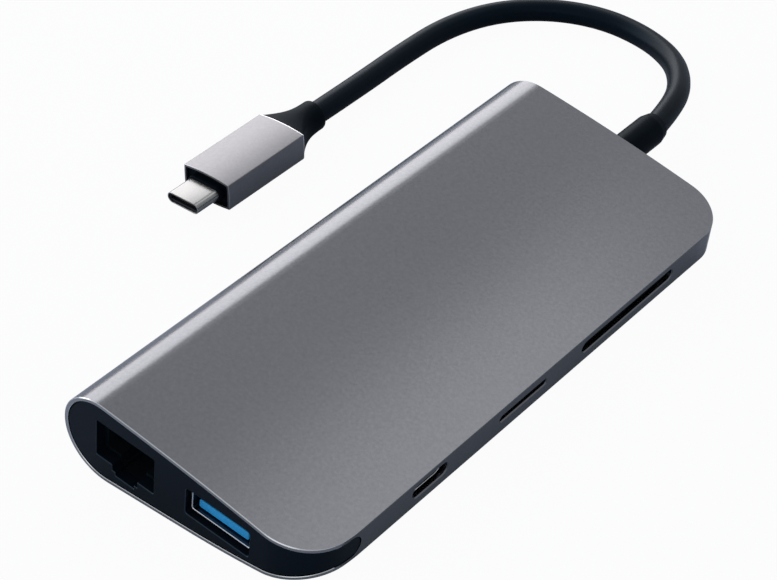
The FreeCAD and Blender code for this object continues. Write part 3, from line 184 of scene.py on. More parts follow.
def sleeve_centres():
    """Centres of the shoulder, crown and belly arcs. The shoulder is tangent to the spine at its
    start; the crown passes the thin side's upper edge and touches the shoulder from outside its
    centre; the belly touches the flat underside and passes the lower edge."""
    to_shoulder = np.array([math.cos(SHOULDER_ANGLE), math.sin(SHOULDER_ANGLE)])
    shoulder = HIGH_CENTRE - to_shoulder * (SHOULDER_R - HIGH_R)
    reach = CROWN_R - SHOULDER_R
    run = TOP_EDGE - shoulder
    distance = np.linalg.norm(run)
    run = run / distance
    along = (reach ** 2 - CROWN_R ** 2 + distance ** 2) / (2 * distance)
    aside = math.sqrt(reach ** 2 - along ** 2)
    crown = shoulder + run * along + np.array([run[1], -run[0]]) * aside
    low_edge = TOP_EDGE - ALONG_W * SIDE_FACE
    across = low_edge[0] - LAND_X
    belly_r = (across ** 2 + low_edge[1] ** 2) / (2 * low_edge[1])
    return shoulder, crown, np.array([LAND_X, belly_r]), belly_r


SHOULDER, CROWN, BELLY, BELLY_R = sleeve_centres()
CROWN_ANGLE = direction(SHOULDER - CROWN)


def arc(centre, radius, start, end, count, last=False):
    """Points on a circle: centre plus radius times cosine and sine of evenly spaced angles."""
    angle = np.linspace(start, end, count, endpoint=last)
    return centre + radius * np.column_stack([np.cos(angle), np.sin(angle)])


def line(start, end, count):
    """Points at even shares of the way from start to end, the end left out."""
    return start + np.linspace(0, 1, count, endpoint=False)[:, None] * (np.asarray(end) - start)


def toward_side(start, end, plain, fine):
    """Places across the dock from start to end: even steps as far as the plan corners, and then end
    less the corner's reach times one minus the sine of evenly spaced angles, so that the plan arcs
    get even steps too."""
    turn = np.sin(np.linspace(0, math.pi / 2, fine))
    corner = end - CORNER_REACH
    return np.concatenate([np.linspace(start, corner, plain, endpoint=False),
                           end - CORNER_REACH * (1 - turn)])


def section(inset):
    """Closed loop of the sleeve's section in x and z, clockwise from the flat underside's left end.
    Tangent arcs share their centres at every inset: each radius is less by the inset. The two edges
    of the thin side are small arcs until the inset passes their radius, and then plain corners."""
    depth = max(inset, EDGE_R)
    top = side_meet(CROWN, CROWN_R - depth, SIDE_U - depth, 1)
    bottom = side_meet(BELLY, BELLY_R - depth, SIDE_U - depth, -1)
    edge_r = depth - inset
    top_angle = direction(top - CROWN)
    bottom_angle = direction(bottom - BELLY)
    low_end = math.pi / 2
    join = CROWN + (CROWN_R - inset) * np.array([math.cos(CROWN_ANGLE), math.sin(CROWN_ANGLE)])
    over = side_meet(CROWN, CROWN_R - inset, toward_side(join @ ALONG_U, top @ ALONG_U, 14, 34), 1)
    land = np.array([LAND_X, inset])
    under = side_meet(BELLY, BELLY_R - inset, toward_side(land @ ALONG_U, bottom @ ALONG_U, 8, 34), -1)
    return np.concatenate([
        arc(LOW_CENTRE, LOW_R - inset, -low_end, -math.pi, 20, last=True),
        arc(HIGH_CENTRE, HIGH_R - inset, math.pi, SHOULDER_ANGLE, 24),
        arc(SHOULDER, SHOULDER_R - inset, SHOULDER_ANGLE, CROWN_ANGLE, 12),
        over[:-1],
        arc(top, edge_r, top_angle, -TILT, 6),
        line(top + edge_r * ALONG_U, bottom + edge_r * ALONG_U, 6),
        arc(bottom, edge_r, -TILT, bottom_angle, 6),
        under[:0:-1],
        line(np.array([LAND_X, inset]), (LOW_CENTRE[0], inset), 8),
    ])


def plan_y(u, inset, end):
    """Length of the plan outline at u from the middle to one end: straight end, then the corner
    arc, then the lead arc, each the arc centre's y plus the root of radius squared less run
    squared."""
    corner_r = end.corner_r - inset
    lead_r = LEAD_R - inset
    corner = end.corner_y + np.sqrt(np.clip(corner_r ** 2 - (u - end.corner_u) ** 2, 0, None))
    lead = end.lead_y + np.sqrt(np.clip(lead_r ** 2 - (u - LEAD_U) ** 2, 0, None))
    flat = END_Y - inset + 0 * u
    y = np.where(u <= end.corner_u, flat, corner)
    return end.side * np.where(u - end.corner_u > corner_r * math.cos(end.turn), lead, y)


# ================================================================ loops

def rounded(half_x, half_z, radius, steps=6):
    """Rounded rectangle, anticlockwise: a quarter arc about each corner's centre."""
    corner = np.array([[1, 1], [-1, 1], [-1, -1], [1, -1]]) * [half_x - radius, half_z - radius]
    angle = np.linspace(0, math.pi / 2, steps)[None] + np.arange(4)[:, None] * math.pi / 2
    ring = corner[:, None] + radius * np.stack([np.cos(angle), np.sin(angle)], -1)
    return ring.reshape(-1, 2)


def circle(radius, count=48):
    """Points at the radius and at evenly spaced angles, anticlockwise."""
    angle = np.arange(count) * 2 * math.pi / count
    return radius * np.column_stack([np.cos(angle), np.sin(angle)])


def round_corners(corners, radii, steps=5):
    """Polygon with an arc in each corner. The arc's centre lies on the corner's bisector at
    radius / sin(half angle), and the arc runs between its feet on the two sides."""
    corners = np.asarray(corners, float)
    radii = np.broadcast_to(np.asarray(radii, float), len(corners))[:, None]
    before = np.roll(corners, 1, 0) - corners
    after = np.roll(corners, -1, 0) - corners
    before /= np.linalg.norm(before, axis=1, keepdims=True)
    after /= np.linalg.norm(after, axis=1, keepdims=True)
    half = np.arccos(np.clip((before * after).sum(1), -1, 1))[:, None] / 2
    bisector = before + after
    bisector /= np.linalg.norm(bisector, axis=1, keepdims=True)
    centre = corners + bisector * radii / np.sin(half)
    start = corners + before * radii / np.tan(half) - centre
    end = corners + after * radii / np.tan(half) - centre
    first = np.arctan2(start[:, 1], start[:, 0])
    turn = np.arctan2(end[:, 1], end[:, 0]) - first
    turn = (turn + math.pi) % (2 * math.pi) - math.pi
    angle = first[:, None] + turn[:, None] * np.linspace(0, 1, steps)[None]
    ring = centre[:, None] + radii[:, None] * np.stack([np.cos(angle), np.sin(angle)], -1)
    return ring.reshape(-1, 2)


def grow(loop, distance):
    """Moves a closed anticlockwise loop outwards: each point goes along the sum of its two sides'
    outward normals, divided by one plus their dot product."""
    side = np.roll(loop, -1, 0) - loop
    side /= np.linalg.norm(side, axis=1, keepdims=True)
    normal = np.column_stack([side[:, 1], -side[:, 0]])
    other = np.roll(normal, 1, 0)
    shift = (normal + other) / (1 + (normal * other).sum(1, keepdims=True))
    return loop + shift * distance


def inside(points, loop):
    """Even-odd test: a point is inside when a ray to the right crosses the loop an odd number of
    times."""
    x, z = points[:, :1], points[:, 1:]
    x0, z0 = loop[:, 0][None], loop[:, 1][None]
    x1, z1 = np.roll(x0, -1, 1), np.roll(z0, -1, 1)
    across = (z0 > z) != (z1 > z)
    rise = np.where(z1 == z0, 1, z1 - z0)
    return (across & (x < x0 + (z - z0) * (x1 - x0) / rise)).sum(1) % 2 == 1


def fill(outline, holes=(), extra=None):
    """Triangles between an outline and its holes: a constrained Delaunay triangulation of all the
    loops and extra points, less the triangles whose middle lies outside or in a hole."""
    loops = [outline, *holes]
    points = [Vector(p) for p in np.concatenate(loops + ([extra] if extra is not None else []))]
    edges = []
    start = 0
    for loop in loops:
        index = start + np.arange(len(loop))
        edges += np.column_stack([index, np.roll(index, -1)]).tolist()
        start += len(loop)
    made = delaunay_2d_cdt(points, edges, [], 0, 1e-7)
    flat = np.array([tuple(p) for p in made[0]])
    faces = np.array([f for f in made[2] if len(f) == 3])
    centre = flat[faces].mean(1)
    kept = inside(centre, outline)
    for hole in holes:
        kept &= ~inside(centre, hole)
    return flat, faces[kept]


# ================================================================ surfaces

MERGE = 1e-4                            # points nearer than this, in millimetres, are one
CRISP = 30.0                            # degrees that an edge turns before it stays crisp
CRISP_RUBBER = 40.0


def grid_faces(rows, columns, close_rows=False, close_columns=True):
    """Quads of a grid whose point number is row * columns + column."""
    row = np.arange(rows if close_rows else rows - 1)
    column = np.arange(columns if close_columns else columns - 1)
    row, column = (a.ravel() for a in np.meshgrid(row, column, indexing="ij"))
    next_row = (row + 1) % rows
    next_column = (column + 1) % columns
    return np.column_stack([
        row * columns + column,
        row * columns + next_column,
        next_row * columns + next_column,
        next_row * columns + column,
    ])


def loft(rings, close_rows=False, ends=True, slot=0, slots=None):
    """Skin over rings of equal length (rows, points, 3). Without close_rows, each end is closed by
    one flat face. slots gives each band between two rings its own material."""
    rings = np.asarray(rings)
    rows, columns = rings.shape[:2]
    faces = grid_faces(rows, columns, close_rows).tolist()
    bands = len(faces) // columns
    marks = np.repeat(slots if slots is not None else [slot] * bands, columns).tolist()
    if ends and not close_rows:
        faces += [list(range(columns)), list(range((rows - 1) * columns, rows * columns))]
        marks += [marks[0], marks[-1]]
    return rings.reshape(-1, 3), faces, marks


def ring_stack(loops, depths, place):
    """Rings for loft: each loop (points, 2) at its own depth, put into space by place."""
    return np.stack([place(np.asarray(loop), depth) for loop, depth in zip(loops, depths)])


def mesh_object(name, shapes, materials, merge=None):
    """Object at the origin from shapes of (points in mm, faces, material numbers). With merge, points
    nearer than that are joined and flat slivers dissolved. Each closed shell's faces turn outwards."""
    mesh = bpy.data.meshes.new(name)
    faces, marks = [], []
    count = 0
    for shape_points, shape_faces, shape_marks in shapes:
        faces += [[i + count for i in face] for face in np.asarray(shape_faces, object).tolist()]
        marks += list(shape_marks)
        count += len(shape_points)
    mesh.from_pydata(np.concatenate([shape[0] for shape in shapes]) * MM, [], faces)
    for material in materials:
        mesh.materials.append(bpy.data.materials[material])
    mesh.polygons.foreach_set("material_index", np.array(marks, np.int32))
    work = bmesh.new()
    work.from_mesh(mesh)
    if merge:
        bmesh.ops.remove_doubles(work, verts=work.verts, dist=merge * MM)
        bmesh.ops.dissolve_degenerate(work, edges=work.edges, dist=merge * MM)
    bmesh.ops.recalc_face_normals(work, faces=work.faces)
    work.to_mesh(mesh)
    work.free()
    made = bpy.data.objects.new(name, mesh)
    bpy.context.scene.collection.objects.link(made)
    return made


def make_piece(name, shapes, materials, sharp=CRISP):
    """Piece that rides on the hub, with the materials it is given."""
    piece = mesh_object(name, shapes, materials, MERGE)
    shade(piece.data, sharp)
    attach(piece, HUB)
    return piece


def shade(mesh, sharp):
    """Smooth faces, with the edges that turn by more than the given degrees kept crisp."""
    mesh.polygons.foreach_set("use_smooth", np.ones(len(mesh.polygons), bool))
    mesh.set_sharp_from_angle(angle=math.radians(sharp))


def weight_normals(piece):
    """Normals that follow the larger faces, so bevels don't shade the flats beside them."""
    weighted = piece.modifiers.new("flat_faces_lead", "WEIGHTED_NORMAL")
    weighted.keep_sharp = True
    weighted.weight = 60


def cut(piece, cutters):
    """Takes the cutters out of the piece exactly, with their finishes, removes them and shades the
    piece again."""
    for tool in cutters:
        boolean = piece.modifiers.new("cut", "BOOLEAN")
        boolean.operation = "DIFFERENCE"
        boolean.solver = "EXACT"
        boolean.material_mode = "TRANSFER"
        boolean.object = tool
    bpy.context.view_layer.update()
    cut_mesh = bpy.data.meshes.new_from_object(
        piece.evaluated_get(bpy.context.evaluated_depsgraph_get()))
    old = piece.data
    piece.modifiers.clear()
    piece.data = cut_mesh
    bpy.data.meshes.remove(old)
    cut_mesh.name = piece.name
    for tool in cutters:
        bpy.data.objects.remove(tool)
    shade(cut_mesh, CRISP)
    weight_normals(piece)


# ================================================================ settings

def colour(name, description, default):
    return FloatVectorProperty(name=name, description=description, default=default, size=3,
                               subtype="COLOR", min=0.0, max=1.0)


def length(name, description, millimetres):
    return FloatProperty(name=name, description=description, default=millimetres * MM,
                         min=0.0, subtype="DISTANCE", unit="LENGTH")


def power(name, description, default):
    return FloatProperty(name=name, description=description, default=default, min=0.0, subtype="POWER")


def share(name, description, default):
    return FloatProperty(name=name, description=description, default=default, min=0.0, max=1.0,
                         subtype="FACTOR")


class WedgeDockSizes(bpy.types.PropertyGroup):
    rim_chamfer: length("Rim chamfer", "Bright cut edge at each end of the sleeve", 0.15)
    inner_chamfer: length("Inner rim chamfer", "Fine cut edge between the rim and the bore", 0.1)
    slot_bevel: length("Slot bevel", "Depth of the bevel around each side slot", 0.2)
    cap_bevel: length("Cap bevel", "Softened edge of each end cap", 0.15)
    opening_bevel: length("Opening bevel", "Softened edge of each opening in a cap", 0.12)
    lip_radius: length("Port lip", "Rounding of a metal port shell's mouth", 0.12)
    # The plug chamfers' brightness is a painted highlight, from the rim and lip finishes, on real cut edges.
    plug_chamfer: length("Plug chamfer", "Bright cut edge at each end of the plug's sleeve", 0.14)
    tip_radius: length("Plug tip rounding", "Rounding of the steel tip's mouth", 0.12)
    cable_diameter: length("Cable diameter", "Outside diameter of the cable", 4.95)
    cable_facets: IntProperty(name="Cable facets", description="Smoothness of the cable's round section",
                              default=10, min=3, max=24)


class WedgeDockColours(bpy.types.PropertyGroup):
    sleeve: colour("Sleeve", "Anodised aluminium of the sleeve", (0.162, 0.164, 0.178))
    plug: colour("Plug", "Anodised aluminium of the plug's sleeve", (0.215, 0.211, 0.222))
    # Opening edges: the cap's plastic painted several times lighter on the opening bevels, a painted
    # highlight rather than wear.
    cap_edge: colour("Opening edges", "Worn bevels round the openings of the caps", (0.020, 0.025, 0.033))
    tip: colour("Plug tip", "Nickel plated shell of the plug's tip", (0.290, 0.288, 0.285))
    # Port lips: the shells' steel painted lighter on their mouths, a painted highlight rather than polish.
    lip: colour("Port lips", "Polished mouths of the steel port shells", (0.900, 0.900, 0.910))
    # Port insides: the shells' steel painted dark inside, painted shade.
    inner: colour("Port insides", "Inner faces of the steel port shells", (0.100, 0.110, 0.130))
    # Sleeve rim: the same anodising as the sleeve, painted more than twice as light on the end faces, a
    # painted highlight.
    rim: colour("Sleeve rim", "Anodised end faces of the sleeve's wall", (0.380, 0.385, 0.400))
    cut_edge: colour("Cut edge", "Bare aluminium on the cut edges", (0.620, 0.620, 0.640))
    cap: colour("End caps", "Moulded plastic of the end caps", (0.0040, 0.0070, 0.0122))
    dark_plastic: colour("Dark plastic", "Jack and socket bodies", (0.0045, 0.0055, 0.0080))
    tongue: colour("USB tongue", "Blue plastic of the USB-A tongues", (0.0260, 0.4600, 1.0000))
    cable: colour("Cable", "Cable jacket", (0.0042, 0.0070, 0.0110))
    relief: colour("Strain reliefs", "Soft plastic of both cable ends", (0.0026, 0.0046, 0.0076))
    steel: colour("Steel", "Port shells and plug tip", (0.620, 0.620, 0.630))
    gold: colour("Contacts", "Gold-plated contacts", (0.870, 0.640, 0.300))
    board: colour("Board", "Solder mask of the board", (0.0080, 0.0300, 0.0160))


class WedgeDockStudio(bpy.types.PropertyGroup):
    dome: share("Dome", "Strength of the even light from all round", 0.40)
    dome_tone: colour("Dome tone", "Colour of the even light", (0.84, 0.92, 1.0))
    key_power: power("Key light", "Soft light high behind the cable end", 0.20)
    broad_power: power("Broad light", "Large faint light over the cable end", 0.63)
    strip_power: power("Strip light", "Long soft light along the thick side", 4.4)
    fill_power: power("Fill light", "Weak soft light in front", 0.45)
    floor: colour("Floor", "Pale floor", (0.40, 0.45, 0.54))
    whiteness: share("White floor", "How much of the floor's own white shows behind the object", 0.96)
    lens: FloatProperty(name="Lens", description="Focal length on a 36 mm sensor, in millimetres",
                        default=107.53, min=10.0)


def sizes():
    return bpy.context.scene.wedge_dock_sizes


def colours():
    return bpy.context.scene.wedge_dock_colours


def studio():
    return bpy.context.scene.wedge_dock_studio


# ================================================================ shader node groups

def new_group(name, inputs, outputs):
    """Empty shader node group with float inputs (name, default) and outputs (name, socket type)."""
    group = bpy.data.node_groups.new(name, "ShaderNodeTree")
    for socket, default in inputs:
        made = group.interface.new_socket(name=socket, in_out="INPUT", socket_type="NodeSocketFloat")
        made.default_value = default
    for socket, kind in outputs:
        group.interface.new_socket(name=socket, in_out="OUTPUT", socket_type=kind)
    entry = group.nodes.new("NodeGroupInput")
    leave = group.nodes.new("NodeGroupOutput")
    return group, entry, leave


def feed(tree, node, **values):
    """Sets a node. A value named after a property sets that. One named after an input, or in and its
    number, sets that input, or feeds it where the value is another node's output."""
    for name, value in values.items():
        if hasattr(node, name):
            setattr(node, name, value)
            continue
        numbered = name.startswith("in") and name[2:].isdigit()
        socket = node.inputs[int(name[2:]) if numbered else name.replace("_", " ")]
        if isinstance(value, bpy.types.NodeSocket):
            tree.links.new(value, socket)
        else:
            socket.default_value = value
    return node


def add(tree, kind, **values):
    return feed(tree, tree.nodes.new(kind), **values)


def math_node(tree, operation, first, second, **values):
    """Result of one operation on two values or sockets."""
    node = add(tree, "ShaderNodeMath", operation=operation, in0=first, in1=second, **values)
    return node.outputs[0]


def mixed(tree, factor, first, second):
    """Colour between two, by a factor."""
    return add(tree, "ShaderNodeMix", data_type="RGBA", in0=factor, in6=first, in7=second).outputs[2]


def object_coordinates(tree, stretch=(1, 1, 1), turn=(0, 0, 0)):
    """Places on the object, stretched and then turned."""
    place = add(tree, "ShaderNodeTexCoord")
    mapping = add(tree, "ShaderNodeMapping", Vector=place.outputs["Object"],
                  Scale=stretch, Rotation=turn)
    return mapping.outputs["Vector"]


def noise_group(name, detail, roughness, stretch=(1, 1, 1), turn=(0, 0, 0)):
    """Noise in object space. Per Metre is how many grains, patches or lines lie in a metre; Tone
    and Height run from 0 to 1, and Tone is spread about the middle by Contrast."""
    group, entry, leave = new_group(name, [("Per Metre", 1000.0), ("Contrast", 1.0)],
                                    [("Tone", "NodeSocketFloat"), ("Height", "NodeSocketFloat")])
    noise = add(group, "ShaderNodeTexNoise", Vector=object_coordinates(group, stretch, turn),
                Scale=entry.outputs["Per Metre"], Detail=detail, Roughness=roughness)
    centre = math_node(group, "SUBTRACT", noise.outputs["Fac"], 0.5)
    spread = math_node(group, "MULTIPLY_ADD", centre, entry.outputs["Contrast"], in2=0.5, use_clamp=True)
    feed(group, leave, Tone=spread, Height=noise.outputs["Fac"])
    return group


TRACE_LINES = 420.0                     # board lines in a metre
TRACE_EDGE = 0.06                       # share of a cell that a line takes


def traces_group():
    """Board lines: thin bands where a turned square-cell distance is near a cell's edge. Mask is 1
    on copper, Height raises it."""
    group, entry, leave = new_group("board_traces", [("Per Metre", TRACE_LINES)],
                                    [("Mask", "NodeSocketFloat"), ("Height", "NodeSocketFloat")])
    cells = add(group, "ShaderNodeTexVoronoi", feature="DISTANCE_TO_EDGE", distance="EUCLIDEAN",
                Vector=object_coordinates(group, (1, 0.35, 0.02), (0, 0, math.radians(45))),
                Scale=entry.outputs["Per Metre"])
    thin = math_node(group, "LESS_THAN", cells.outputs["Distance"], TRACE_EDGE)
    feed(group, leave, Mask=thin, Height=thin)
    return group


GROUPS = {}


def build_groups():
    """The patterns that the materials share."""
    GROUPS["grain"] = noise_group("fine_grain", 3.0, 0.65)
    GROUPS["mottle"] = noise_group("soft_mottle", 2.0, 0.5)
    GROUPS["lines_y"] = noise_group("drawn_lines_y", 2.0, 0.6, stretch=(1, 0.04, 1))
    GROUPS["lines_x"] = noise_group("drawn_lines_x", 2.0, 0.6, stretch=(0.04, 1, 1), turn=(0, TILT, 0))
    GROUPS["traces"] = traces_group()


def place_group(tree, name, per_metre, **values):
    """A shared pattern in one material, with that material's own values."""
    return add(tree, "ShaderNodeGroup", node_tree=GROUPS[name], Per_Metre=per_metre, **values)


# ================================================================ materials

SHADER = "Principled BSDF"
MOTTLE_CONTRAST = 1.6
NAVY_SHEEN = (0.42, 0.72, 1.0)          # reflections of the dark plastics, bluer than the light


def empty_material(name):
    """Material of that name, the frame's own where it has one, with only a shader and its output."""
    material = bpy.data.materials.get(name) or bpy.data.materials.new(name)
    material.use_nodes = True
    tree = material.node_tree
    tree.nodes.clear()
    shader = add(tree, "ShaderNodeBsdfPrincipled", name=SHADER)
    add(tree, "ShaderNodeOutputMaterial", Surface=shader.outputs[0])
    return tree, shader


def scaled(value, factor):
    """Colour times a factor, none of its parts over 1."""
    return tuple(min(1.0, c * factor) for c in value[:3]) + (1.0,)


def two_tone(tree, factor, base, tone):
    """The base colour from 1 - tone to 1 + tone times itself, by a factor."""
    return mixed(tree, factor, scaled(base, 1 - tone), scaled(base, 1 + tone))


def raise_surface(tree, shader, height, depth):
    """Bump of the given depth in millimetres where height is 1."""
    bump = add(tree, "ShaderNodeBump", Strength=1.0, Distance=depth * MM, Height=height)
    feed(tree, shader, Normal=bump.outputs["Normal"])


def build_finish(name, base, metallic=0.0, roughness=0.5, swing=0.05, grain="grain", per_metre=1800.0,
                 contrast=1.5, tone=0.05, depth=0.0, mottle=25.0, mottle_tone=0.04, shine=0.5,
                 shine_tone=(1, 1, 1)):
    """Procedural finish: grain and soft mottle vary the colour by tone and mottle_tone, mottle
    varies the roughness by swing, and the grain's height bumps the surface by depth in mm."""
    tree, shader = empty_material(name)
    fine = place_group(tree, grain, per_metre, Contrast=contrast)
    soft = place_group(tree, "mottle", mottle, Contrast=MOTTLE_CONTRAST)
    fine_colour = two_tone(tree, fine.outputs["Tone"], base, tone)
    soft_colour = two_tone(tree, soft.outputs["Tone"], base, mottle_tone)
    spread = add(tree, "ShaderNodeMapRange", Value=soft.outputs["Tone"], To_Min=roughness - swing,
                 To_Max=roughness + swing)
    feed(tree, shader, Base_Color=mixed(tree, 0.5, fine_colour, soft_colour), Metallic=metallic,
         Roughness=spread.outputs["Result"], Specular_IOR_Level=shine, Specular_Tint=(*shine_tone, 1.0))
    if depth:
        raise_surface(tree, shader, fine.outputs["Height"], depth)
    return tree, shader


def build_board_finish():
    """Solder mask over copper lines: the traces mask lightens the mask's colour and raises it."""
    board = colours().board
    tree, shader = build_finish("board_laminate", board, roughness=0.32, tone=0.10, mottle_tone=0.10)
    plain = shader.inputs["Base Color"].links[0].from_socket
    traces = place_group(tree, "traces", TRACE_LINES)
    feed(tree, shader, Base_Color=mixed(tree, traces.outputs["Mask"], plain, scaled(board, 2.6)))
    raise_surface(tree, shader, traces.outputs["Height"], 0.03)


LEAD_TONES = (                          # where each lead's band starts across the leads, its colour
    (0.0, (0.42, 0.03, 0.02)),
    (0.30, (0.02, 0.02, 0.02)),
    (0.50, (0.03, 0.20, 0.06)),
    (0.70, (0.55, 0.55, 0.53)),
)


def build_lead_finish():
    """Coloured leads: bands across the dock, one colour to each lead's place."""
    tree, shader = build_finish("lead_jacket", (0.3, 0.3, 0.3), roughness=0.42, tone=0.05)
    low, high = (edge * MM for edge in span("cable_leads", 0))
    across = add(tree, "ShaderNodeSeparateXYZ", in0=object_coordinates(tree))
    place = add(tree, "ShaderNodeMapRange", Value=across.outputs["X"], From_Min=low, From_Max=high)
    ramp = add(tree, "ShaderNodeValToRGB", Fac=place.outputs["Result"])
    bands = ramp.color_ramp
    bands.interpolation = "CONSTANT"
    bands.elements[1].position = LEAD_TONES[1][0]
    for _ in LEAD_TONES[2:]:
        bands.elements.new(0.9)
    for element, (position, tone) in zip(bands.elements, LEAD_TONES):
        element.position = position
        element.color = (*tone, 1.0)
    feed(tree, shader, Base_Color=ramp.outputs["Color"])


# The finishes: name, base colour (or the name of a colour setting), metallic, roughness and its
# swing, kind of grain, grains per metre, contrast, tone, depth in mm, mottles per metre, mottle tone,
# and where they aren't plain, shine and its tone.
FINISHES = (
    ("sleeve_aluminium", "sleeve", 1.0, 0.23, 0.02, "grain", 1500.0, 2.2, 0.16, 0.006, 14.0, 0.03),
    ("plug_aluminium", "plug", 1.0, 0.38, 0.02, "grain", 1700.0, 2.2, 0.14, 0.005, 30.0, 0.03),
    ("cut_aluminium", "cut_edge", 1.0, 0.24, 0.04, "lines_x", 3000.0, 1.5, 0.06, 0.001, 60.0, 0.04),
    # Rim finish: the sleeve's anodising painted lighter, a painted highlight on the rims and the plug's
    # front chamfer.
    ("rim_aluminium", "rim", 1.0, 0.34, 0.04, "grain", 1800.0, 1.8, 0.08, 0.003, 60.0, 0.04),
    ("cap_plastic", "cap", 0.0, 0.42, 0.04, "grain", 3200.0,
     1.6, 0.18, 0.004, 40.0, 0.10, 0.10, NAVY_SHEEN),
    # The opening bevels' finish: the cap plastic painted lighter, a painted highlight, with more shine.
    ("cap_edge", "cap_edge", 0.0, 0.34, 0.04, "grain", 3200.0,
     1.6, 0.10, 0.003, 40.0, 0.05, 0.5, NAVY_SHEEN),
    ("jack_plastic", (0.0060, 0.0100, 0.0130), 0.0, 0.34, 0.04, "grain", 2600.0,
     1.4, 0.16, 0.003, 60.0, 0.10, 0.30, NAVY_SHEEN),
    ("socket_plastic", "dark_plastic", 0.0, 0.50, 0.04, "grain", 2800.0, 1.4, 0.16, 0.003, 60.0, 0.1),
    ("tray_plastic", "dark_plastic", 0.0, 0.58, 0.05, "grain", 1800.0, 1.5, 0.20, 0.006, 30.0, 0.12),
    ("header_plastic", (0.62, 0.58, 0.48), 0.0, 0.45, 0.05, "grain", 2400.0, 1.4, 0.06, 0.003, 80.0, 0.05),
    ("usb_blue_plastic", "tongue", 0.0, 0.36, 0.04, "grain", 3000.0, 1.4, 0.07, 0.003, 70.0, 0.06),
    ("port_steel", "steel", 1.0, 0.24, 0.04, "lines_y", 2600.0, 1.6, 0.07, 0.002, 80.0, 0.05),
    ("tip_steel", "tip", 1.0, 0.26, 0.03, "lines_y", 2600.0, 1.6, 0.06, 0.001, 80.0, 0.03),
    # Lip finish: lighter than the port steel, a painted highlight on the shells' mouths and the plug's back
    # chamfer.
    ("lip_steel", "lip", 1.0, 0.32, 0.04, "lines_y", 2600.0, 1.6, 0.05, 0.001, 80.0, 0.04),
    # Inside finish: the port steel painted dark, painted shade inside the shells and the plug's tip.
    ("inner_steel", "inner", 1.0, 0.30, 0.04, "lines_y", 2600.0, 1.6, 0.08, 0.002, 80.0, 0.06),
    ("contact_gold", "gold", 1.0, 0.28, 0.05, "lines_y", 3600.0, 1.6, 0.08, 0.001, 120.0, 0.06),
    ("spring_steel", (0.50, 0.50, 0.52), 1.0, 0.30, 0.05, "lines_y", 4200.0, 1.6, 0.08, 0.001, 150.0, 0.05),
    ("screw_steel", (0.40, 0.40, 0.42), 1.0, 0.34, 0.05, "grain", 4200.0, 1.6, 0.10, 0.002, 200.0, 0.06),
    ("chip_resin", (0.012, 0.012, 0.013), 0.0, 0.55, 0.06, "grain", 4200.0, 1.7, 0.22, 0.004, 120.0, 0.1),
    ("ceramic_part", (0.36, 0.22, 0.12), 0.0, 0.42, 0.05, "grain", 4200.0, 1.5, 0.10, 0.002, 300.0, 0.14),
    ("ferrite_part", (0.030, 0.030, 0.033), 0.0, 0.62, 0.06, "grain", 3600.0, 1.8, 0.25, 0.006, 120.0, 0.1),
    ("crystal_can", (0.62, 0.61, 0.58), 1.0, 0.28, 0.05, "lines_y", 3600.0, 1.6, 0.06, 0.001, 150.0, 0.05),
    ("cable_rubber", "cable", 0.0, 0.36, 0.05, "grain", 1500.0,
     1.6, 0.14, 0.010, 45.0, 0.10, 0.08, NAVY_SHEEN),
    ("relief_rubber", "relief", 0.0, 0.40, 0.05, "grain", 2200.0,
     1.6, 0.14, 0.006, 60.0, 0.10, 0.04, NAVY_SHEEN),
)


def build_materials():
    """Every finish, under the name of the frame's slot where it has one."""
    build_groups()
    for name, base, *values in FINISHES:
        build_finish(name, getattr(colours(), base) if isinstance(base, str) else base, *values)
    build_board_finish()
    build_lead_finish()


def dress(node, material):
    """Gives a CAD node one procedural finish on all its material slots."""
    mesh = frame["nodes"][node].data
    finish = bpy.data.materials[material]
    if not mesh.materials:
        mesh.materials.append(finish)
    for index in range(len(mesh.materials)):
        mesh.materials[index] = finish


# ================================================================ sleeve

RIM_LEVELS = (0.012, 0.05, 0.12, 0.22, 0.3, 0.45, 0.6)   # depths into the wall of the rim's bands
FADE_GONE, FADE_SPAN = 0.25, 0.55                        # the chamfer's fade round the plan corners
CORNER_WALL = 0.985                                      # share of a corner past which the rim is wall
CUT_PAST = 0.5                                           # how far a cutter runs past the wall inside


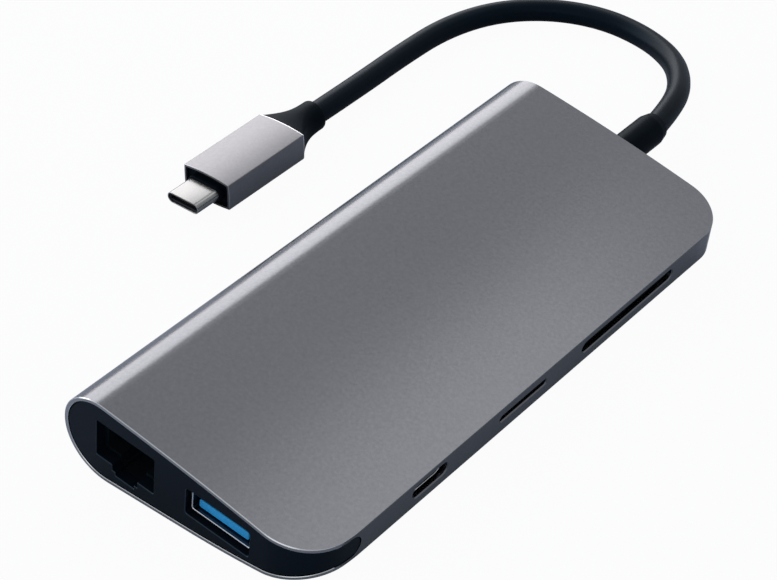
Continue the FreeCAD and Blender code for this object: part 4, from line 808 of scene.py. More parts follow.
def sleeve_shape(chamfer, inner_chamfer):
    """Closed shell: the section loop is carried along y between the plan outline's two ends at each
    point's u. Each end turns in through a chamfer, the wall's flat rim and a finer chamfer to the
    inner surface. The outer chamfer fades as the section's normal turns towards the thin side and as
    the plan outline turns round its corner: it is full while the cosine of the outline's turn is over
    0.8 and gone below 0.25."""
    outer = section(0.0)
    normal = (outer - section(0.1)) / 0.1
    across = outer @ ALONG_U

    def ease_at(end):
        turn = np.clip((across - end.corner_u) / end.corner_r, 0, 1)
        fade = np.clip((np.sqrt(1 - turn ** 2) - FADE_GONE) / FADE_SPAN, 0, 1)
        return chamfer * fade * (1 - np.clip(normal @ ALONG_U, 0, 1)) ** 2

    front, rear = (plan_y(across, ease_at(end), end) for end in (FRONT, REAR))
    rings = []
    marks = []

    def ring(loop, y, mark):
        rings.append(np.column_stack([loop[:, 0], np.broadcast_to(y, len(loop)), loop[:, 1]]))
        marks.append(mark)

    # Mark 2 is the rim finish, whose lighter colour is a painted highlight.
    def rim_rings(end):
        flat = [level for level in RIM_LEVELS if chamfer < level < WALL - inner_chamfer]
        flat.append(WALL - inner_chamfer)
        rim = outer - ease_at(end)[:, None] * normal
        stack = [(rim, plan_y(rim @ ALONG_U, 0.0, end), 2)]
        stack += [(section(level), plan_y(section(level) @ ALONG_U, 0.0, end), 2) for level in flat]
        inner = section(WALL)
        stack[-1] = (*stack[-1][:2], 1)
        stack.append((inner, plan_y(inner @ ALONG_U, inner_chamfer, end), 0))
        return stack

    for step in np.sin(np.linspace(-math.pi / 2, math.pi / 2, 17)):
        ring(outer, front + (rear - front) * (1 + step) / 2, 0)
    marks[-1] = 1
    back = rim_rings(REAR)
    fore = rim_rings(FRONT)
    for loop, y, mark in back:
        ring(loop, y, mark)
    for step in (0.1, 0.3, 0.5, 0.7, 0.9):
        ring(back[-1][0], back[-1][1] * (1 - step) + fore[-1][1] * step, 0)
    for number, (loop, y, _) in enumerate(reversed(fore)):
        ring(loop, y, 1 if number in (0, len(fore) - 1) else 2)
    return loft(rings, close_rows=True, slots=marks)


def side_band():
    """Heights in the port frame of the inner corners of the thin side."""
    top = side_meet(CROWN, CROWN_R - WALL, SIDE_U - WALL, 1)
    bottom = side_meet(BELLY, BELLY_R - WALL, SIDE_U - WALL, -1)
    return float(bottom @ ALONG_W), float(top @ ALONG_W)


def across_rings(loops, depths):
    """Rings of loops in (y, w), each at its own u."""
    return ring_stack(loops, depths, lambda loop, u: port_place(u, loop[:, 0], loop[:, 1]))


def window_cutter(end):
    """Slot with a round tip where an end cap wraps onto the thin side."""
    low, high = side_band()
    radius = (high - low) / 2 - 0.01
    mid = (high + low) / 2
    centre = np.array([end.tip_y + radius, mid])
    nose = arc(centre, radius, math.pi / 2, 3 * math.pi / 2, 25, last=True)
    far = np.array([[END_Y + 3, mid - radius], [END_Y + 3, mid + radius]])
    loop = np.concatenate([nose, far]) * [end.side, 1]
    return across_rings([loop, loop], [SIDE_U - WALL - CUT_PAST, SIDE_U + 1])


def slot_cutter(y, slot_length, height, bevel):
    """Stadium slot that widens by its bevel towards the outside."""
    loop = rounded(slot_length / 2, height / 2, height / 2 - 0.001, 10) + [y, PORT_W]
    wide = grow(loop, bevel * 2)
    return across_rings([loop, loop, wide], [SIDE_U - WALL - CUT_PAST, SIDE_U - bevel, SIDE_U + bevel])


def cutter(name, shape, material):
    """A closed mesh that rides on nothing and is removed after use."""
    return mesh_object(name, [shape], [material])


def plain_corners(mesh):
    """Beyond most of each plan corner the rim's bands are the outside of the wall, so they take the
    sleeve's own finish."""
    middles = np.zeros(len(mesh.polygons) * 3)
    mesh.polygons.foreach_get("center", middles)
    middles = middles.reshape(-1, 3) / MM
    across = middles[:, [0, 2]] @ ALONG_U
    marks = np.zeros(len(mesh.polygons), np.int32)
    mesh.polygons.foreach_get("material_index", marks)
    # Past CORNER_WALL of each corner, the rim's painted highlight and the cut edge give way to the sleeve's
    # finish.
    for end in (FRONT, REAR):
        marks[(across > end.corner_u + CORNER_WALL * end.corner_r) & (middles[:, 1] * end.side > 0)] = 0
    mesh.polygons.foreach_set("material_index", marks)


def build_sleeve():
    """The closed shell, less a window for each cap's wrap and the three slots."""
    s = sizes()
    piece = make_piece("sleeve_shell", [sleeve_shape(s.rim_chamfer / MM, s.inner_chamfer / MM)],
                       ["sleeve_aluminium", "cut_aluminium", "rim_aluminium"])
    cutters = [cutter("cut_window", loft(window_cutter(end)), "sleeve_aluminium") for end in (FRONT, REAR)]
    cutters += [cutter("cut_slot", loft(slot_cutter(*slot, s.slot_bevel / MM)), "sleeve_aluminium")
                for slot in SLOTS]
    plain_corners(piece.data)
    cut(piece, cutters)
    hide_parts("housing_sleeve")
    return piece


# ================================================================ end caps

def cap_bends(end):
    """Cap face's corner radius, its turn, and the distance along the face where the lead starts."""
    radius = end.corner_r - CAP_INSET
    turn = math.pi / 2 - end.turn
    return radius, turn, end.corner_u + radius * turn


def cap_place(q, w, depth, end):
    """Cap face to space. q runs along the plan outline: straight, round the corner arc and along
    the lead arc at the same angles for every depth, so depth is measured square to the face."""
    radius, turn, lead_q = cap_bends(end)
    inset = CAP_INSET + depth
    angle = np.clip((q - end.corner_u) / radius, 0, turn)
    lead = end.turn - np.clip((q - lead_q) / (LEAD_R - CAP_INSET), 0, end.turn)
    on_corner = q < lead_q
    corner_r = end.corner_r - inset
    lead_r = LEAD_R - inset
    u = np.where(on_corner, end.corner_u + corner_r * np.sin(angle), LEAD_U + lead_r * np.cos(lead))
    y = np.where(on_corner, end.corner_y + corner_r * np.cos(angle), end.lead_y + lead_r * np.sin(lead))
    u = np.where(q < end.corner_u, q, u)
    return port_place(u, end.side * y, w)


def cap_q(u, end):
    """Distance along the cap face at u, as far as the corner arc reaches."""
    radius = end.corner_r - CAP_INSET
    bend = np.arcsin(np.clip((u - end.corner_u) / radius, 0, 1))
    return np.where(u < end.corner_u, u, end.corner_u + radius * bend)


def cap_tip(end):
    """Distance along the cap face of the wrap's tip, on the corner arc or on the lead arc."""
    radius, turn, lead_q = cap_bends(end)
    y = end.tip_y + CAP_GAP
    if y > end.corner_y + radius * math.cos(turn):
        return end.corner_u + radius * math.acos((y - end.corner_y) / radius)
    lead_r = LEAD_R - CAP_INSET
    return lead_q + lead_r * (end.turn - math.asin((y - end.lead_y) / lead_r))


def cap_outline(end):
    """Anticlockwise outline in (q, w): the sleeve's inner section less the gap, then the wrap with
    its round tip."""
    inset = WALL + CAP_GAP
    edge_u = SIDE_U - inset
    edge_q = float(cap_q(edge_u, end))
    top = side_meet(CROWN, CROWN_R - inset, edge_u, 1) @ ALONG_W
    bottom = side_meet(BELLY, BELLY_R - inset, edge_u, -1) @ ALONG_W
    radius = (top - bottom) / 2
    mid = (top + bottom) / 2
    nose_q = cap_tip(end) - radius
    nose = arc(np.array([nose_q, mid]), radius, -math.pi / 2, math.pi / 2, 17)
    run_q = np.linspace(min(edge_q, nose_q), end.corner_u, 24, endpoint=False)
    if nose_q > edge_q:
        run_q = np.concatenate([np.linspace(nose_q, edge_q, 14, endpoint=False), run_q])
    bend_r = end.corner_r - CAP_INSET
    run_u = end.corner_u + bend_r * np.sin((run_q - end.corner_u) / bend_r)
    run_u = np.where(run_q >= edge_q, edge_u, run_u)
    high = side_meet(CROWN, CROWN_R - inset, run_u, 1) @ ALONG_W
    low = side_meet(BELLY, BELLY_R - inset, run_u, -1) @ ALONG_W
    loop = section(inset)
    spine = np.column_stack([loop @ ALONG_U, loop @ ALONG_W])
    spine = spine[spine[:, 0] < end.corner_u - 0.6][::-1]
    first = int(np.argmax(np.where(spine[:, 1] > mid, spine[:, 0], -99)))
    return np.concatenate([
        nose,
        np.column_stack([run_q, high]),
        np.roll(spine, -first, 0),
        np.column_stack([run_q, low])[:0:-1],
    ])


def corner_fill(outline, end):
    """Extra points on the bent part of a cap, so its triangles follow the bend."""
    q, w = np.meshgrid(np.linspace(end.corner_u, outline[:, 0].max(), 34), np.linspace(3.0, 11.5, 9))
    points = np.column_stack([q.ravel(), w.ravel()])
    kept = inside(points, grow(outline, -0.55))
    return points[kept]


def plate(outline, holes, thickness, bevel, hole_bevel, place, extra):
    """Plate with openings: each loop has a bevel ring, a wall through the thickness and shares its
    points with the triangulated front and back."""
    shapes = []
    fronts = [grow(outline, -bevel)] + [grow(hole, hole_bevel) for hole in holes]
    for loop, front, deep in zip([outline, *holes], fronts, [bevel] + [hole_bevel] * len(holes)):
        rings = [place(front[:, 0], front[:, 1], 0.0), place(loop[:, 0], loop[:, 1], deep),
                 place(loop[:, 0], loop[:, 1], thickness)]
        # The openings' bevel rings take the second material, the painted highlight of the opening edges.
        shapes.append(loft(rings, ends=False, slots=[0 if loop is outline else 1, 0]))
    for loops, depth in ((fronts, 0.0), ([outline, *holes], thickness)):
        flat, faces = fill(loops[0], loops[1:], extra)
        shapes.append((place(flat[:, 0], flat[:, 1], depth), faces, [0] * len(faces)))
    return shapes


def jack_opening():
    """Outline of the jack's opening: a rectangle with two latch steps under it."""
    half, high = 13.45 / 2, 8.35 / 2
    first, second = 5.9 / 2, 4.4 / 2
    low, lower = -high - 1.4, -high - 1.4 - 0.8
    corners = [(half, high), (-half, high), (-half, -high), (-first, -high), (-first, low), (-second, low),
               (-second, lower), (second, lower), (second, low), (first, low), (first, -high), (half, -high)]
    radii = [0.3] * 3 + [0.15] * 8 + [0.3]
    return round_corners(corners, radii) + [JACK_U, JACK_W]


def video_opening(grown, radius=0.4):
    """D-shaped outline of the video port, with its narrow foot down."""
    half, foot = 7.5 + grown, 5.7 + grown
    corners = [(half, 5.55 + grown), (-half, 5.55 + grown), (-half, 1.9), (-foot, -grown), (foot, -grown),
               (half, 1.9)]
    return round_corners(corners, radius) + [VIDEO_U, BOARD_W]


def gland_circle(radius):
    """The cable's bore as it crosses a cap that leans: the same circle in the port frame."""
    centre = np.array([GLAND_X, GLAND_Z])
    return circle(radius) + [centre @ ALONG_U, centre @ ALONG_W]


USB_OPENING = (14.3 / 2, 6.1 / 2)       # half width and half height in the cap
USB_OPENING_SHIFT = (-0.1, -0.65)       # from the middle of the shell
SHELL_ROOM = 0.08
VIDEO_ROOM = 0.25
GLAND_BORE_R = 3.45


def usb_pocket(u, end):
    """Room for a USB shell behind the upper edge of its opening."""
    half_u, half_w, radius = (size + SHELL_ROOM for size in (*USB_HALF, USB_R))
    loop = rounded(half_u, half_w, radius) + [u, USB_W]
    depths = [MOUTH_Y + SHELL_ROOM, END_Y - CAP_INSET - CAP_T - 1]
    rings = ring_stack([loop, loop], depths,
                       lambda ring, y: port_place(ring[:, 0], end.side * y, ring[:, 1]))
    return cutter("cut_pocket", loft(rings), "cap_plastic")


def build_caps():
    """Each cap is a plate with its openings, bent onto the plan outline, less the room for its USB
    shell."""
    s = sizes()
    others = {"front": [jack_opening()], "rear": [video_opening(VIDEO_ROOM), gland_circle(GLAND_BORE_R)]}
    for end, name, u in USB_PORTS:
        usb = rounded(*USB_OPENING, USB_R) + [u + USB_OPENING_SHIFT[0], USB_W + USB_OPENING_SHIFT[1]]
        outline = cap_outline(end)
        shapes = plate(outline, [usb, *others[name]], CAP_T, s.cap_bevel / MM, s.opening_bevel / MM,
                       lambda q, w, depth, end=end: cap_place(q, w, depth, end), corner_fill(outline, end))
        # The second material paints a highlight on the openings' bevels.
        piece = make_piece(name + "_cap_skin", shapes, ["cap_plastic", "cap_edge"])
        cut(piece, [usb_pocket(u, end)])
        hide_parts(name + "_end_cap")


# ================================================================ ports

# The lip finish paints a highlight on each mouth; the inside finish paints shade into the shell.
SHELL_FINISHES = ["port_steel", "lip_steel", "inner_steel"]


def shell_loops(half, radius, wall, lip, steps=5):
    """Loops and mouth depths of a tube with a rounded lip: outside back to front, round the lip and
    inside front to back. The lip's inset and setback are lip times one minus cosine and one minus
    sine."""
    turn = np.linspace(0, math.pi / 2, steps)
    inset = np.concatenate([[0], lip * (1 - np.cos(turn)), wall - lip * (1 - np.cos(turn[::-1])), [wall]])
    back = np.concatenate([[None], lip * (1 - np.sin(turn)), lip * (1 - np.sin(turn[::-1])), [None]])
    loops = [rounded(half[0] - i, half[1] - i, max(radius - i, 0.05), 8) for i in inset]
    return loops, back


def tube(half, radius, wall, lip, depth, place):
    """Closed tube shell with a rounded mouth, its back open: the second finish on the lip, the third
    inside."""
    loops, back = shell_loops(half, radius, wall, lip)
    depths = [depth if b is None else b for b in back]
    marks = [0] + [1] * (len(loops) - 3) + [2, 0]
    return loft(ring_stack(loops, depths, place), close_rows=True, slots=marks)


def slab(loop_at, lip, depth, place, steps=4):
    """Solid bar with a rounded front edge: loop_at(inset) gives its section."""
    turn = np.linspace(0, math.pi / 2, steps)
    inset = np.concatenate([lip * (1 - np.sin(turn)), [0]])
    back = np.concatenate([lip * (1 - np.cos(turn)), [depth]])
    return loft(ring_stack([loop_at(i) for i in inset], back, place))


TONGUE_R, TONGUE_LIP = 0.45, 0.14
BASE_R, BASE_LIP, BASE_GAP = 0.28, 0.1, 0.01   # block that fills the shell behind the tongue
BASE_OVERLAP = 0.1


def build_usb_ports():
    """Each port is a tube with a rounded lip, and in it two rounded bars: the tongue and, behind it,
    the base that fills the shell."""
    s = sizes()
    lip = s.lip_radius / MM
    for end, side, u in USB_PORTS:
        def shell_place(loop, depth, u=u, end=end):
            return port_place(loop[:, 0] + u, end.side * (MOUTH_Y - depth), loop[:, 1] + USB_W)

        def tongue_place(loop, depth, u=u, end=end):
            y = end.side * (MOUTH_Y - TONGUE_BACK - depth)
            return port_place(loop[:, 0] + u, y, loop[:, 1] + TONGUE_W)

        shell = make_piece(side + "_usb_sleeve", [tube(USB_HALF, USB_R, USB_T, lip, USB_DEPTH, shell_place)],
                           SHELL_FINISHES)
        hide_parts(side + "_usb_shell")
        def base_place(loop, depth, place=shell_place):
            return place(loop, depth + USB_DEPTH - (TONGUE_BASE + BASE_OVERLAP))

        tongue = slab(lambda i: rounded(TONGUE_HALF[0] - i, TONGUE_HALF[1] - i, TONGUE_R - i * 0.8),
                      TONGUE_LIP, USB_DEPTH - TONGUE_BACK - TONGUE_BASE, tongue_place)
        base = slab(lambda i: rounded(*(size - USB_T - BASE_GAP - i for size in USB_HALF), BASE_R),
                    BASE_LIP, TONGUE_BASE + BASE_OVERLAP, base_place)
        tongue = make_piece(side + "_usb_blade", [tongue, base], ["usb_blue_plastic"])
        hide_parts(side + "_usb_tongue")


SIDE_PORT_HALF = (4.47, 1.6)
SIDE_PORT_WALL, SIDE_PORT_LIP = 0.3, 0.1
SIDE_PORT_DEPTH = 8.4
SIDE_PORT_SINK = 0.38                   # from the wall's inside to the shell's mouth


def build_side_port():
    """USB-C receptacle in the thin side: a stadium shell with a rounded mouth."""
    y, _, _ = SLOTS[0]
    mouth_u = SIDE_U - WALL - SIDE_PORT_SINK

    def place(loop, depth):
        return port_place(mouth_u - depth, loop[:, 0] + y, loop[:, 1] + PORT_W)

    shell = tube(SIDE_PORT_HALF, SIDE_PORT_HALF[1] - 0.001, SIDE_PORT_WALL, SIDE_PORT_LIP,
                 SIDE_PORT_DEPTH, place)
    piece = make_piece("usb_c_port_sleeve", [shell], SHELL_FINISHES)
    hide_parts("usb_c_port_shell")


# ================================================================ cable gland

def revolve(profile, place, count=64):
    """Closed surface of (radius, distance) pairs turned about the axis, with flat ends."""
    loops = [circle(max(radius, 1e-3), count) for radius, _ in profile]
    return loft(ring_stack(loops, [distance for _, distance in profile], place))


GLAND_SHOULDER = 14.2                   # from the sleeve's end to the shoulder


def build_gland():
    """Round gland: straight, then a soft shoulder and a tapered tip, each edge a small arc."""
    low, high = span("cable_gland", 1)
    end_r, body_r, flange_r = 2.9, 3.4, 4.6
    inner = END_Y - CAP_INSET - CAP_T
    shoulder = END_Y + GLAND_SHOULDER
    profile = [(flange_r, low), (flange_r, inner - 0.05), (body_r, inner - 0.05), (body_r, shoulder - 0.5),
               (body_r - 0.02, shoulder - 0.2), (body_r - 0.10, shoulder + 0.1), (end_r + 0.12, high - 0.5),
               (end_r + 0.05, high - 0.2), (end_r - 0.06, high - 0.05), (end_r - 0.2, high)]
    shape = revolve(profile, lambda loop, y: np.column_stack([
        loop[:, 0] + GLAND_X, np.full(len(loop), y), loop[:, 1] + GLAND_Z]))
    piece = make_piece("gland_boot", [shape], ["relief_rubber"], CRISP_RUBBER)
    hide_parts("cable_gland")
    return piece


# ================================================================ card springs

SPRING_WIRE = 0.16
SPRING_TURNS = 7
STEPS_PER_TURN = 20
CARD_SPRINGS = (("microsd", 3.0), ("sd", 4.0))   # socket, travel of its slider


def coil(centre, along, upwards, run, radius):
    """Coil spring: a wire circle carried along a helix. At a share of the run, the wire's middle is
    centre + along * (share - 1/2) * run + radius * outwards, where outwards is the cosine of the turn
    times +Y plus its sine times upwards. The circle lies in the plane of outwards and along."""
    step = np.linspace(0.0, 1.0, SPRING_TURNS * STEPS_PER_TURN + 1)[:, None, None]
    turn = 2 * math.pi * SPRING_TURNS * step
    outwards = np.cos(turn) * np.array([0.0, 1.0, 0.0]) + np.sin(turn) * upwards
    wire = circle(SPRING_WIRE / 2, 8)[None, :, :, None]
    return loft(centre + (step - 0.5) * run * along + (radius + wire[:, :, 0]) * outwards
                + wire[:, :, 1] * along)


def build_springs():
    """The coil spring behind each card slider, at its node's length. Its node's box gives the coil:
    the y side is its thickness, and the x side is length * cos(lean) + thickness * sin(lean)."""
    inwards = -port_place(1.0, 0.0, 0.0)
    upwards = port_place(0.0, 0.0, 1.0)
    for socket, travel in CARD_SPRINGS:
        node = socket + "_spring"
        wide, thick = (float(np.diff(span(node, axis))[0]) for axis in (0, 1))
        whole = (wide - thick * math.sin(TILT)) / math.cos(TILT)
        centre = np.array([middle(node, axis) for axis in range(3)])
        shape = coil(centre, inwards, upwards, whole - SPRING_WIRE, (thick - SPRING_WIRE) / 2)
        piece = make_piece(socket + "_coil", [shape], ["spring_steel"], sharp=60.0)
        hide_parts(node)
        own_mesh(piece)


# ================================================================ plug

PLUG_X = middle("plug_sleeve", 0)
PLUG_Z = middle("plug_sleeve", 2)
PLUG_FRONT, PLUG_BACK = span("plug_sleeve", 1)
PLUG_HALF = (12.15 / 2, 6.9 / 2)
PLUG_EDGE_HALF = 5.95 / 2               # half height at the side edges, below the arched top
PLUG_BULGE = 0.12                       # how far the sides arch out
PLUG_CORNER = 0.25
PLUG_WALL = 0.5
PLUG_FACE = 0.6                         # from the sleeve's front to the insert's face
EDGE_INSET, BACK_CHAMFER = 0.7, 1.8     # shares of the chamfer: its inset, and its length at the back
CORE_GAP, CORE_CORNER = 0.05, 0.12      # of what fills the sleeve
COLLAR_HALF = (8.95 / 2, 1.55)
TIP_HALF = (8.25 / 2, 1.2)
TIP_WALL = 0.25


def arch_radius(half_chord, rise):
    """Radius of an arc from its half chord and rise: the sum of their squares over twice the rise."""
    return (half_chord ** 2 + rise ** 2) / (2 * rise)


PLUG_TOP_R = arch_radius(PLUG_HALF[0] - PLUG_BULGE, PLUG_HALF[1] - PLUG_EDGE_HALF)
PLUG_SIDE_R = arch_radius(PLUG_EDGE_HALF, PLUG_BULGE)


def barrel(half_w, half_h, top_r, side_r, corner_r, steps=(9, 7, 14)):
    """Ring of four arched sides with tangent corner arcs. A corner's centre is top_r - corner_r from
    the top arc's centre and side_r - corner_r from the side arc's centre; one quarter is worked out
    and mirrored."""
    low, left = half_h - top_r, half_w - side_r
    reach_top, reach_side = top_r - corner_r, side_r - corner_r
    apart = math.hypot(low, left)
    along = (reach_top ** 2 - reach_side ** 2 + apart ** 2) / (2 * apart)
    aside = math.sqrt(reach_top ** 2 - along ** 2)
    corner = np.array([(along * left - aside * low) / apart, low - (along * low + aside * left) / apart])
    side_end = direction(corner - (left, 0))
    top_start = direction(corner - (0, low))
    quarter = np.concatenate([
        arc(np.array([left, 0]), side_r, 0, side_end, steps[0]),
        arc(corner, corner_r, side_end, top_start, steps[1]),
        arc(np.array([0, low]), top_r, top_start, math.pi / 2, steps[2], last=True),
    ])
    upper = np.concatenate([quarter, quarter[-2::-1] * [-1, 1]])
    return np.concatenate([upper, upper[-2:0:-1] * [1, -1]])


def plug_section(inset, corner_r=PLUG_CORNER):
    """The plug's outline, with each size and arc radius less by the inset."""
    half_w, half_h, top_r, side_r = (size - inset for size in (*PLUG_HALF, PLUG_TOP_R, PLUG_SIDE_R))
    return barrel(half_w, half_h, top_r, side_r, corner_r)


def plug_place(loop, y):
    """Loop in x and z about the plug's line, put at y."""
    return np.column_stack([loop[:, 0] + PLUG_X, np.full(len(loop), y), loop[:, 1] + PLUG_Z])


def build_plug():
    """The sleeve is its outline carried along y, with a chamfer at each end and a bore. The insert
    fills it behind the mouth and has a collar round the tip. The tip is a tube with a rounded lip."""
    s = sizes()
    chamfer = s.plug_chamfer / MM
    tip_lip = s.tip_radius / MM
    front, back = PLUG_FRONT, PLUG_BACK
    bore = plug_section(PLUG_WALL, CORE_CORNER)
    edge = plug_section(chamfer * EDGE_INSET, PLUG_CORNER - 0.05)
    outer = plug_section(0.0)
    runs = np.linspace(front + chamfer * EDGE_INSET, back - chamfer * BACK_CHAMFER, 9)
    loops = [bore, edge] + [outer] * len(runs) + [edge, bore]
    depths = [front, front, *runs, back, back]
    marks = [0, 2] + [0] * (len(runs) - 1) + [1, 0, 0]
    shape = loft(ring_stack(loops, depths, plug_place), close_rows=True, slots=marks)
    # The front chamfer takes the rim finish and the back chamfer the lip finish: real cut edges, painted
    # lighter as highlights.
    sleeve = make_piece("plug_body_sleeve", [shape], ["plug_aluminium", "lip_steel", "rim_aluminium"])
    weight_normals(sleeve)
    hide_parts("plug_sleeve")

    face = front + PLUG_FACE
    core = plug_section(PLUG_WALL + CORE_GAP, CORE_CORNER)

    def collar(inset, y):
        half_w, half_h = (size - inset for size in COLLAR_HALF)
        return plug_place(rounded(half_w, half_h, half_h - 0.001, 10), y)

    shapes = [loft(ring_stack([core, core], [face, face + 4.6], plug_place)),
              loft([collar(0.0, face + 0.3), collar(0.0, face - 1.25), collar(0.06, face - 1.39),
                    collar(0.2, face - 1.45)])]
    insert = make_piece("plug_face_insert", shapes, ["relief_rubber"])
    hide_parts("plug_insert")

    tip_front, tip_back = span("plug_shell", 1)
    shell = tube(TIP_HALF, TIP_HALF[1] - 0.001, TIP_WALL, tip_lip, tip_back - tip_front,
                 lambda loop, depth: plug_place(loop, tip_front + depth))
    # The tip's inside takes the dark inside finish, painted shade.
    tip = make_piece("plug_tip_shell", [shell], ["tip_steel", "tip_steel", "inner_steel"])
    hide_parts("plug_shell")
    return [sleeve, insert, tip]


RELIEF_RINGS = (                 # behind the sleeve, half width, half height, top, side, corner radii
    (0.0, 5.95, 3.38, 28.0, 30.0, 0.30),
    (0.5, 5.56, 3.33, 26.0, 27.5, 0.40),
    (1.0, 5.20, 3.30, 24.0, 25.0, 0.52),
    (1.6, 4.80, 3.28, 21.0, 22.0, 0.72),
    (2.3, 4.42, 3.27, 17.5, 18.5, 1.02),
    (3.2, 4.03, 3.26, 13.5, 14.0, 1.45),
    (4.2, 3.72, 3.26, 10.0, 10.5, 1.95),
    (5.4, 3.47, 3.27, 7.0, 7.2, 2.45),
    (6.8, 3.34, 3.28, 4.8, 4.9, 2.85),
    (8.6, 3.30, 3.30, 3.65, 3.65, 3.15),
)


def relief_rings(finer=4):
    """The flare's sizes between the listed rings are a cubic through them, so the root curves
    smoothly into the round neck: Catmull-Rom weights on each size."""
    table = np.array(RELIEF_RINGS)
    ends = np.concatenate([[2 * table[0] - table[1]], table, [2 * table[-1] - table[-2]]])
    t = np.arange(0, 1, 1 / finer)[None, :, None]
    p0, p1, p2, p3 = (ends[i:len(ends) - 3 + i, None, :] for i in range(4))
    fine = 0.5 * (2 * p1 + (p2 - p0) * t + (2 * p0 - 5 * p1 + 4 * p2 - p3) * t ** 2
                  + (3 * p1 - p0 - 3 * p2 + p3) * t ** 3)
    return np.concatenate([fine.reshape(-1, table.shape[1]), table[-1:]])


def build_relief():
    """Moulded relief: a block inside the sleeve, the flared root and a round neck whose end has a
    small rounded edge."""
    low, high = span("plug_strain_relief", 1)
    fine = relief_rings()
    loops = [barrel(*row[1:]) for row in fine]
    depths = list(PLUG_BACK + fine[:, 0])
    neck = fine[-1, 1:]
    for inset, back in ((0.0, 0.35), (0.06, 0.14), (0.2, 0.03), (0.4, 0.0)):
        loops.append(barrel(*(neck - inset)))
        depths.append(high - back)
    core = plug_section(PLUG_WALL + CORE_GAP, CORE_CORNER)
    block = loft(ring_stack([core, core], [low, PLUG_BACK], plug_place))
    flare = loft(ring_stack(loops, depths, plug_place))
    piece = make_piece("plug_flare", [block, flare], ["relief_rubber"],
                       CRISP_RUBBER)
    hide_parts("plug_strain_relief")
    return piece


# ================================================================ cable

# Control points of the cable's line, in metres: out of the gland, down to the table, half a turn,
# and back along the dock to the plug.
CABLE_ROUTE = (
    (-0.0006, 0.0783, 0.0073),
    (-0.0023, 0.0876, 0.0068),
    (-0.0069, 0.0973, 0.0053),
    (-0.0144, 0.1060, 0.0035),
    (-0.0248, 0.1111, 0.0025),
    (-0.0365, 0.1117, 0.0025),
    (-0.0477, 0.1075, 0.0025),
    (-0.0567, 0.0988, 0.0025),
    (-0.0613, 0.0864, 0.0025),
    (-0.0617, 0.0716, 0.0026),
    (-0.0610, 0.0566, 0.0030),
    (-0.0607, 0.0417, 0.00345),
)


def build_cable():
    """Round cable on a smooth NURBS line through the route's control points."""
    s = sizes()
    curve = bpy.data.curves.new("cable_jacket", "CURVE")
    curve.dimensions = "3D"
    spline = curve.splines.new("NURBS")
    spline.points.add(len(CABLE_ROUTE) - 1)
    spline.points.foreach_set("co", np.column_stack([CABLE_ROUTE, np.ones(len(CABLE_ROUTE))]).ravel())
    spline.order_u = 3
    spline.use_endpoint_u = True
    spline.resolution_u = 12
    curve.bevel_depth = s.cable_diameter / 2
    curve.bevel_resolution = s.cable_facets
    curve.use_fill_caps = True
    curve.materials.append(bpy.data.materials["cable_rubber"])
    cable = bpy.data.objects.new("cable_jacket", curve)
    bpy.context.scene.collection.objects.link(cable)
    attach(cable, HUB)
    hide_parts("cable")
    return cable


# ================================================================ stage

CAMERA_AT = Vector((0.20328, -0.25750, 0.27676))
CAMERA_RIGHT = Vector((0.77489, 0.63210, 0.0))
CAMERA_FORWARD = Vector((-0.49295, 0.60431, -0.62595))
LIGHT_TARGET = Vector((-0.005, 0.01, 0.01))
LIGHTS = (                              # name, direction, distance, width and length, tint
    ("key", (0.056, 0.533, 0.844), 0.70, (0.26, 0.275), (1.0, 1.0, 1.0)),
    ("broad", (-0.264, 0.645, 0.717), 0.80, (1.00, 0.82), (1.0, 1.0, 1.0)),
    ("strip", (-0.882, 0.164, 0.442), 0.60, (1.18, 0.44), (1.0, 0.975, 0.975)),
    ("fill", (0.30, -0.84, 0.56), 0.80, (0.60, 0.40), (1.0, 1.0, 1.0)),
)
DOME_IN_GLOSS, FLOOR_IN_GLOSS = 0.3, 0.05   # how much of the white glossy rays see
FLOOR_REACH = 3.0
FLOOR_DROP = 0.00003                    # below the object, so the two don't lie in one plane


def build_camera(lens):
    """Camera at its place: up is its right direction crossed with its forward direction."""
    data = bpy.data.cameras.new("view_camera")
    data.lens = lens
    data.sensor_width = 36.0
    data.clip_start = 0.01
    data.clip_end = 20.0
    camera = bpy.data.objects.new("view_camera", data)
    forward = CAMERA_FORWARD.normalized()
    right = CAMERA_RIGHT.normalized()
    up = right.cross(forward)
    turn = Matrix((right, up, -forward)).transposed().to_4x4()
    camera.matrix_world = Matrix.Translation(CAMERA_AT) @ turn
    bpy.context.scene.collection.objects.link(camera)
    bpy.context.scene.camera = camera


def soft_light(name, toward, distance, size, tint, watts):
    """Rectangular soft light in the given direction from the object, facing it."""
    data = bpy.data.lights.new(name, "AREA")
    data.shape = "RECTANGLE"
    data.size, data.size_y = size
    data.energy = watts
    data.color = tint
    lamp = bpy.data.objects.new(name, data)
    toward = Vector(toward).normalized()
    lamp.matrix_world = Matrix.Translation(LIGHT_TARGET + toward * distance) @ \
        toward.to_track_quat("Z", "Y").to_matrix().to_4x4()
    bpy.context.scene.collection.objects.link(lamp)


def seen_mask(tree, glossy):
    """1 for camera and transmission rays and the given share for glossy rays."""
    path = add(tree, "ShaderNodeLightPath").outputs
    direct = math_node(tree, "MAXIMUM", path["Is Camera Ray"], path["Is Transmission Ray"])
    return math_node(tree, "MAXIMUM", direct, math_node(tree, "MULTIPLY", path["Is Glossy Ray"], glossy))


def build_world(dome, tone):
    """Even light from all round, and plain white where a ray looks straight at it."""
    world = bpy.data.worlds.new("studio_dome")
    bpy.context.scene.world = world
    world.use_nodes = True
    tree = world.node_tree
    tree.nodes.clear()
    even = add(tree, "ShaderNodeBackground", Color=(*tone, 1.0), Strength=dome)
    white = add(tree, "ShaderNodeBackground", Color=(1, 1, 1, 1), Strength=1.0)
    mix = add(tree, "ShaderNodeMixShader", in0=seen_mask(tree, DOME_IN_GLOSS), in1=even.outputs[0],
              in2=white.outputs[0])
    add(tree, "ShaderNodeOutputWorld", Surface=mix.outputs[0])


